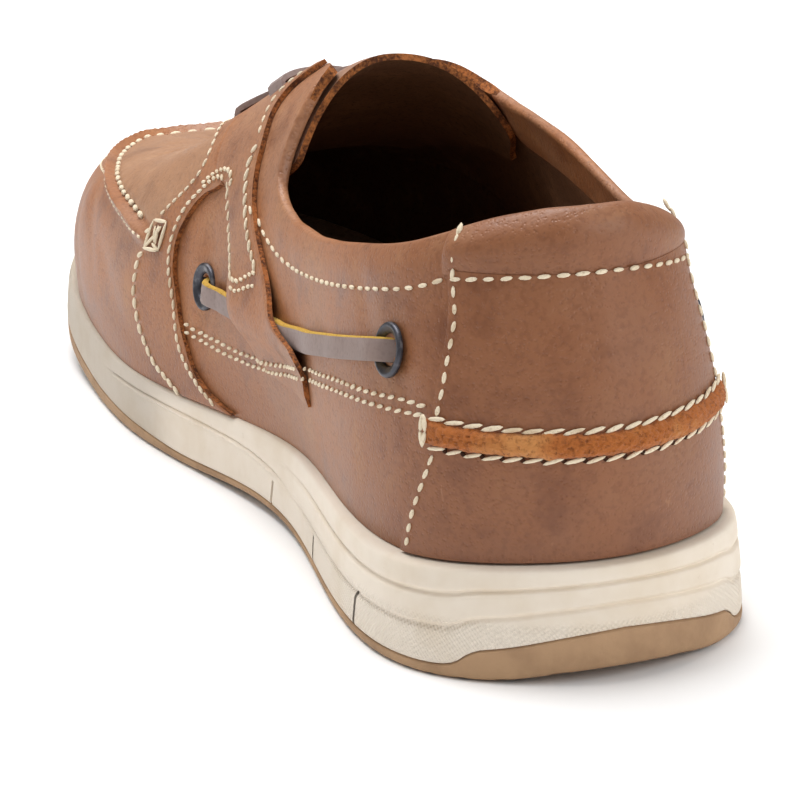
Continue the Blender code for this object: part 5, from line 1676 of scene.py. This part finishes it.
@dataclass
class Stitching:
    """All the sewing of the shoe."""

    finishes: Finishes
    tape_row: float = 0.0235
    strand_width: float = 0.0005
    smoothing: int = 15
    hole: tuple[float, float] = (0.0006, 0.0002)
    tack: Table = ((0.572, 0.354), (0.556, 0.354), (0.556, 0.282), (0.572, 0.280))

    def rows(self) -> list[Row]:
        """Rows that lie the same way on both sides."""
        seam = [(turn, float(LAST.seam_rise(np.array(-turn))) + 0.003)
                for turn in (*np.linspace(0.597, 0.80, 9), 0.83, 0.86, 0.90, 0.94, 0.97, 1.0)]
        low = [(turn, rise - 0.100 * float(ramp(turn, 0.70, 0.85)) - 0.052)
               for turn, rise in seam if turn > 0.60]
        return [
            Row("apron", seam, APRON_STITCH),
            Row("under_apron", [(0.583, 0.298), *low], UNDER_STITCH),
            Row("rope", ((0.574, 0.272), (0.577, 0.250), (0.578, 0.214), (0.578, 0.190), (0.577, 0.164),
                         (0.574, 0.144), (0.569, 0.106), (0.561, 0.072), (0.551, 0.044), (0.537, 0.024),
                         (0.526, 0.006)), CORD_STITCH),
            Row("facing", ((0.568, 0.368), (0.561, 0.404), (0.552, 0.448), (0.547, 0.490), (0.550, 0.540),
                           (0.560, 0.600), (0.580, 0.680), (0.602, 0.750), (0.622, 0.810)),
                STAY_STITCH),
            Row("wing", ((0.533, 0.445), (0.540, 0.416), (0.545, 0.370), (0.546, 0.326), (0.545, 0.280),
                         (0.541, 0.232), (0.535, 0.186), (0.530, 0.142), (0.524, 0.098), (0.515, 0.066),
                         (0.503, 0.036), (0.490, 0.014)), WING_STITCH),
            Row("arch_outer", ((0.536, 0.456), (0.531, 0.475), (0.525, 0.487), (0.517, 0.493),
                               (0.509, 0.487), (0.503, 0.470), (0.500, 0.450)),
                ARCH_STITCH),
            Row("arch_inner", ((0.533, 0.445), (0.529, 0.460), (0.523, 0.472), (0.517, 0.474),
                               (0.512, 0.466)), ARCH_STITCH),
            Row("strap_front", ((0.511, 0.464), (0.507, 0.452), (0.502, 0.430), (0.499, 0.406),
                                (0.494, 0.382), (0.491, 0.358), (0.486, 0.338), (0.481, 0.316),
                                (0.476, 0.296), (0.471, 0.282), (0.466, 0.268)),
                STRAP_FRONT_STITCH),
            Row("box_inner", ((0.466, 0.272), (0.460, 0.270), (0.452, 0.280), (0.444, 0.292), (0.439, 0.298)),
                BOX_INNER_STITCH),
            Row("box_outer", ((0.465, 0.258), (0.459, 0.253), (0.450, 0.260), (0.442, 0.270), (0.436, 0.274)),
                BOX_OUTER_STITCH),
            Row("strap_rear", ((0.440, 0.300), (0.446, 0.316), (0.458, 0.352), (0.469, 0.398), (0.479, 0.450),
                               (0.487, 0.504), (0.489, 0.554)), STRAP_REAR_STITCH),
            Row("stay_rear", ((0.494, 0.575), (0.504, 0.630), (0.514, 0.690), (0.518, 0.750), (0.512, 0.795)),
                STAY_STITCH, sides=(Side.INNER,)),
            Row("stay_rear_outer",
                ((0.494, 0.575), (0.506, 0.630), (0.526, 0.690), (0.542, 0.750), (0.545, 0.795)),
                STAY_STITCH, sides=(Side.OUTER,)),
            Row("side_upper", ((0.527, 0.146), (0.516, 0.139), (0.501, 0.136), (0.486, 0.135), (0.471, 0.132),
                               (0.454, 0.133), (0.431, 0.140), (0.400, 0.156), (0.364, 0.180), (0.333, 0.197),
                               (0.289, 0.222), (0.240, 0.243), (0.197, 0.255), (0.168, 0.254)),
                SIDE_STITCH),
            Row("side_lower", ((0.525, 0.130), (0.512, 0.124), (0.497, 0.121), (0.483, 0.118), (0.468, 0.117),
                               (0.450, 0.118), (0.427, 0.126), (0.395, 0.144), (0.358, 0.166), (0.333, 0.180),
                               (0.270, 0.213), (0.220, 0.231), (0.172, 0.240)),
                SIDE_STITCH),
            Row("heel_seam", ((0.150, 0.545), (0.151, 0.500), (0.150, 0.464), (0.144, 0.407), (0.146, 0.348),
                              (0.151, 0.269), (0.154, 0.240)), HEEL_STITCH),
            Row("heel_seam_low", ((0.156, 0.185), (0.166, 0.138), (0.178, 0.081), (0.188, 0.012)),
                HEEL_STITCH),
        ]

    def heel_rows(self) -> list[Row]:
        """Rows that cross the heel, given by signed turns."""
        once = (Side.OUTER,)
        band = ((-0.155, 0.463), (-0.111, 0.470), (-0.026, 0.478), (0.047, 0.474), (0.115, 0.460),
                (0.155, 0.452))
        tape = [(HeelCounter.tape_turn * share, HeelCounter.tape_rise(share))
                for share in np.linspace(-0.98, 0.98, 15)]
        return [
            Row("band", band, BAND_STITCH, sides=once),
            Row("tape_top", [(turn, rise + self.tape_row) for turn, rise in tape], TAPE_TOP_STITCH,
                sides=once),
            Row("tape_low", [(turn, rise - self.tape_row) for turn, rise in tape], TAPE_LOW_STITCH,
                sides=once),
        ]

    def collar_rows(self) -> list[Row]:
        """Rows round the collar on each side."""
        inner = ((0.163, 0.463), (0.196, 0.439), (0.243, 0.410), (0.295, 0.376), (0.343, 0.347),
                 (0.375, 0.335), (0.403, 0.333), (0.428, 0.346), (0.450, 0.373), (0.461, 0.398),
                 (0.468, 0.420))
        outer = [(turn, float(LAST.edge_rise(np.array(turn))) - 0.082)
                 for turn in np.linspace(0.165, 0.44, 9)]
        return [Row("collar_inner", inner, COLLAR_STITCH, sides=(Side.INNER,)),
                Row("collar_outer", outer, COLLAR_STITCH, sides=(Side.OUTER,))]

    def build(self) -> None:
        """Sew every row and the two bar tacks."""
        chance = np.random.default_rng(11)
        groups = {"apron_stitching": self.rows()[:2], "panel_stitching": self.rows()[2:],
                  "heel_stitching": self.heel_rows(), "collar_stitching": self.collar_rows()}
        holes: list[Array] = []
        for name, rows in groups.items():
            places: list[Array] = []
            for row in rows:
                for side in row.sides:
                    places += self.sew(row, side, chance, holes)
            if name == "panel_stitching":
                places += self.tacks()
            if name == "heel_stitching":
                places += self.loops()
            piece = Bench.many(name, Bench.bead(8, 7), np.array(places))
            Bench.dress(piece, [self.finishes.thread], "lace")
        # dark beads at the needle holes: painted shade of the holes
        piece = Bench.many("needle_holes", Bench.bead(8, 5), np.array(holes))
        Bench.dress(piece, [self.finishes.hole], "lining")

    def line(self, points: Table, side: Side, lift: float) -> tuple[Array, Array, Array]:
        """Run a smooth line through places on the shoe.

        Args:
            points: Pairs of turn and rise.
            side: Side that a positive turn means.
            lift: Height over the upper's worn skin.

        Returns:
            The points of the line, its normals and its distances from its start.
        """
        pairs = np.array(points, float)
        turn_step, rise_step = np.diff(pairs[:, 0]) * 1.4, np.diff(pairs[:, 1]) * 0.8
        knots = np.concatenate([[0], np.cumsum(np.hypot(turn_step, rise_step))])
        table = np.column_stack([knots, pairs])
        fine = np.linspace(0, knots[-1], 400)
        turn, rise = side.value * smooth(table, 1, fine), smooth(table, 2, fine)
        cover = Saddle(side, self.finishes).height(np.abs(turn), rise)
        kernel = np.hanning(self.smoothing)
        cover = np.pad(cover, self.smoothing // 2, mode="edge")
        cover = np.convolve(cover, kernel / kernel.sum(), "valid")
        track = LAST.offset(turn, rise, LAST.skin(turn, rise) + np.maximum(cover, lift))
        run = np.concatenate([[0], np.cumsum(np.linalg.norm(np.diff(track, axis=0), axis=1))])
        return track, LAST.normal(turn, rise), run

    def sew(self, row: Row, side: Side, chance: np.random.Generator, holes: list[Array]) -> list[Array]:
        """Place the stitches of one row.

        Args:
            row: The row.
            side: Side of the foot.
            chance: Source of the small differences between stitches.
            holes: Places of needle holes, added to where the row shows them.

        Returns:
            A 3 by 4 matrix for each stitch.
        """
        track, normals, run = self.line(row.points, side, row.stitch.lift)
        kind = row.stitch
        count = max(1, int(run[-1] / kind.pitch))
        spots = (np.arange(count) + 0.5) * run[-1] / count
        ahead = np.gradient(track, axis=0)
        places = []
        for spot in spots:
            middle, normal, way = (np.array([np.interp(spot, run, values[:, axis]) for axis in range(3)])
                                   for values in (track, normals, ahead))
            normal = normal / np.linalg.norm(normal)
            way = way - normal * (way @ normal)
            way = way / np.linalg.norm(way)
            slant = kind.lay.value * side.value + chance.normal() * 0.05
            cross = np.cross(normal, way)
            along = way * cos(slant) + cross * sin(slant)
            cross = np.cross(normal, along)
            length = kind.length / 2 * (1 + 0.06 * chance.normal())
            width = kind.width / 2 * (1 + 0.05 * chance.normal())
            lift = 0.25 * width if kind.lay is Lay.RUN else 0.40 * width
            places.append(np.column_stack([along * length, cross * width, normal * width * kind.puff,
                                           middle + normal * lift]))
            # a dark bead beside the stitch marks the needle hole as painted shade
            if kind.holes:
                size, depth = self.hole
                gap = middle + way * kind.pitch * 0.5
                holes.append(np.column_stack([way * size, cross * size, normal * depth, gap]))
        return places

    def strand(self, side: Side, start: Sequence[float], end: Sequence[float], lift: float,
               width: float) -> Array:
        """Place one long strand of thread between two places."""
        points = [LAST.offset(side.value * turn, rise, LAST.skin(side.value * turn, rise) + lift)
                  for turn, rise in (start, end)]
        normal = LAST.normal(side.value * (start[0] + end[0]) / 2, (start[1] + end[1]) / 2)
        way = points[1] - points[0]
        length = np.linalg.norm(way)
        way = way / length
        cross = np.cross(normal, way)
        cross = cross / np.linalg.norm(cross)
        upright = np.cross(way, cross) * width * 0.8
        middle = (points[0] + points[1]) / 2
        return np.column_stack([way * (length / 2 + width * 0.4), cross * width, upright, middle])

    def tacks(self) -> list[Array]:
        """Place the thick strands of the bar tack on each side."""
        places = []
        low_rear, low_front = self.tack[2:]
        pairs = list(zip(self.tack, self.tack[1:] + self.tack[:1]))
        pairs += [((0.5665, 0.338), (0.5625, 0.300)), ((0.5625, 0.340), (0.5600, 0.296)),
                  (low_front, (0.5640, 0.318)), ((0.5640, 0.318), (0.5600, 0.340)),
                  ((0.5760, 0.318), (0.5700, 0.330)), (low_rear, (0.5650, 0.296))]
        for side in Side:
            for step, (start, end) in enumerate(pairs):
                lift = PANEL_LIFT + 0.0003 + 0.00015 * (step % 3)
                places.append(self.strand(side, start, end, lift, 0.00048))
        return places

    def loops(self) -> list[Array]:
        """Place the loops of thread that wrap each end of the tape, and the tuft on the band."""
        places = []
        for side in Side:
            for turn, lean in ((0.1610, 0.0010), (0.1640, -0.0008)):
                middle = (turn - lean, 0.220)
                for start, end in (((turn + lean, 0.246), middle), (middle, (turn + 2 * lean, 0.196))):
                    places.append(self.strand(side, start, end, 0.0026, self.strand_width))
            places.append(self.strand(side, (0.1515, 0.560), (0.1500, 0.540), 0.0012, self.strand_width))
            places.append(self.strand(side, (0.1530, 0.556), (0.1515, 0.536), 0.0012, 0.0004))
        return places


@dataclass(frozen=True)
class Lamp:
    """Square soft light: its place and size in metres, and its power in watts."""

    name: str
    place: tuple[float, float, float]
    size: float
    power: float


@dataclass
class Studio:
    """Pale floor, soft light and the camera."""

    azimuth: float = 0.33964804
    elevation: float = 0.27080702
    roll: float = -0.03840367
    distance: float = 0.700
    aim: tuple[float, float, float] = (0.0, 0.100, 0.040)
    focal: float = 3408.45
    centre: tuple[float, float] = (430.17, 337.08)
    size: int = 800
    sensor: float = 36.0
    floor_size: float = 12.0
    air: float = 0.37
    lit: tuple[float, float, float] = (0.0, 0.0, 0.04)
    lamps: Sequence[Lamp] = (Lamp("top", (-0.08, 0.32, 1.25), 0.9, 19.0),
                             Lamp("key", (-1.2, 0.1, 1.2), 0.8, 2.4),
                             Lamp("fill", (0.9, -1.3, 0.9), 1.0, 12.0))

    def build(self) -> None:
        """Set up the whole studio."""
        self.build_floor()
        self.build_light()
        self.build_camera()

    def build_floor(self) -> None:
        """Lay the pale floor."""
        Bench.rest()
        bpy.ops.mesh.primitive_plane_add(size=self.floor_size, location=(0, 0, 0))
        floor = bpy.context.object
        floor.name = "studio_floor"
        graph = Graph("pale_floor")
        cloud = graph.noise(graph.place(), 3.0, 2.0)
        colour = graph.blend(linear(252, 252, 252), linear(249, 249, 249), cloud)
        floor.data.materials.append(graph.done(Base_Color=colour, Roughness=0.9, Specular_IOR_Level=0.1))

    def build_light(self) -> None:
        """Hang the soft lights and light the air."""
        world = bpy.data.worlds.new("studio_air")
        world.use_nodes = True
        air = world.node_tree.nodes["Background"]
        air.inputs["Color"].default_value = (1.0, 1.0, 1.0, 1.0)
        air.inputs["Strength"].default_value = self.air
        bpy.context.scene.world = world
        bpy.context.scene.view_settings.view_transform = "Standard"
        for lamp in self.lamps:
            light = bpy.data.lights.new(f"{lamp.name}_light", "AREA")
            light.shape, light.size, light.energy = "SQUARE", lamp.size, lamp.power
            stand = bpy.data.objects.new(f"{lamp.name}_light", light)
            way = np.array(self.lit) - np.array(lamp.place)
            way = way / np.linalg.norm(way)
            stand.matrix_world = aimed(np.array(lamp.place), way, np.array([0.0, 1.0, 0.001]))
            bpy.context.scene.collection.objects.link(stand)

    def build_camera(self) -> None:
        """Stand the camera where it sees the shoe as the photograph does."""
        ahead = np.array([sin(self.azimuth) * cos(self.elevation), cos(self.azimuth) * cos(self.elevation),
                          -sin(self.elevation)])
        level = np.array([cos(self.azimuth), -sin(self.azimuth), 0.0])
        upright = np.cross(level, ahead)
        up = upright * cos(self.roll) - level * sin(self.roll)
        data = bpy.data.cameras.new("camera")
        data.sensor_width = self.sensor
        data.lens = self.focal / self.size * self.sensor
        data.shift_x = -(self.centre[0] - self.size / 2) / self.size
        data.shift_y = (self.centre[1] - self.size / 2) / self.size
        data.clip_start, data.clip_end = 0.01, 50.0
        camera = bpy.data.objects.new("camera", data)
        camera.matrix_world = aimed(np.array(self.aim) - ORIGIN - ahead * self.distance, ahead, up)
        bpy.context.scene.collection.objects.link(camera)
        bpy.context.scene.camera = camera


def aimed(place: Array, ahead: Array, up: Array) -> Matrix:
    """Matrix of an object that stands at a place and looks ahead."""
    right = np.cross(ahead, up)
    right = right / np.linalg.norm(right)
    above = np.cross(right, ahead)
    matrix = np.eye(4)
    matrix[:3, :3] = np.stack([right, above, -ahead], 1)
    matrix[:3, 3] = place
    return Matrix(matrix.tolist())


def main() -> None:
    """Build the shoe and its studio."""
    logging.basicConfig(level=logging.INFO, format="%(name)s: %(message)s")
    Studio().build()
    finishes = Finishes()
    Sole(finishes).build()
    Upper(finishes).build()
    for side in Side:
        Saddle(side, finishes).build()
        Eyelet(side, "front", 0.507, 0.233, finishes).build()
        Eyelet(side, "rear", 0.220, 0.325, finishes).build()
    HeelCounter(finishes).build()
    Tongue(finishes).build()
    Laces(finishes).build()
    Stitching(finishes).build()
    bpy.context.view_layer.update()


if __name__ == "__main__":
    main()
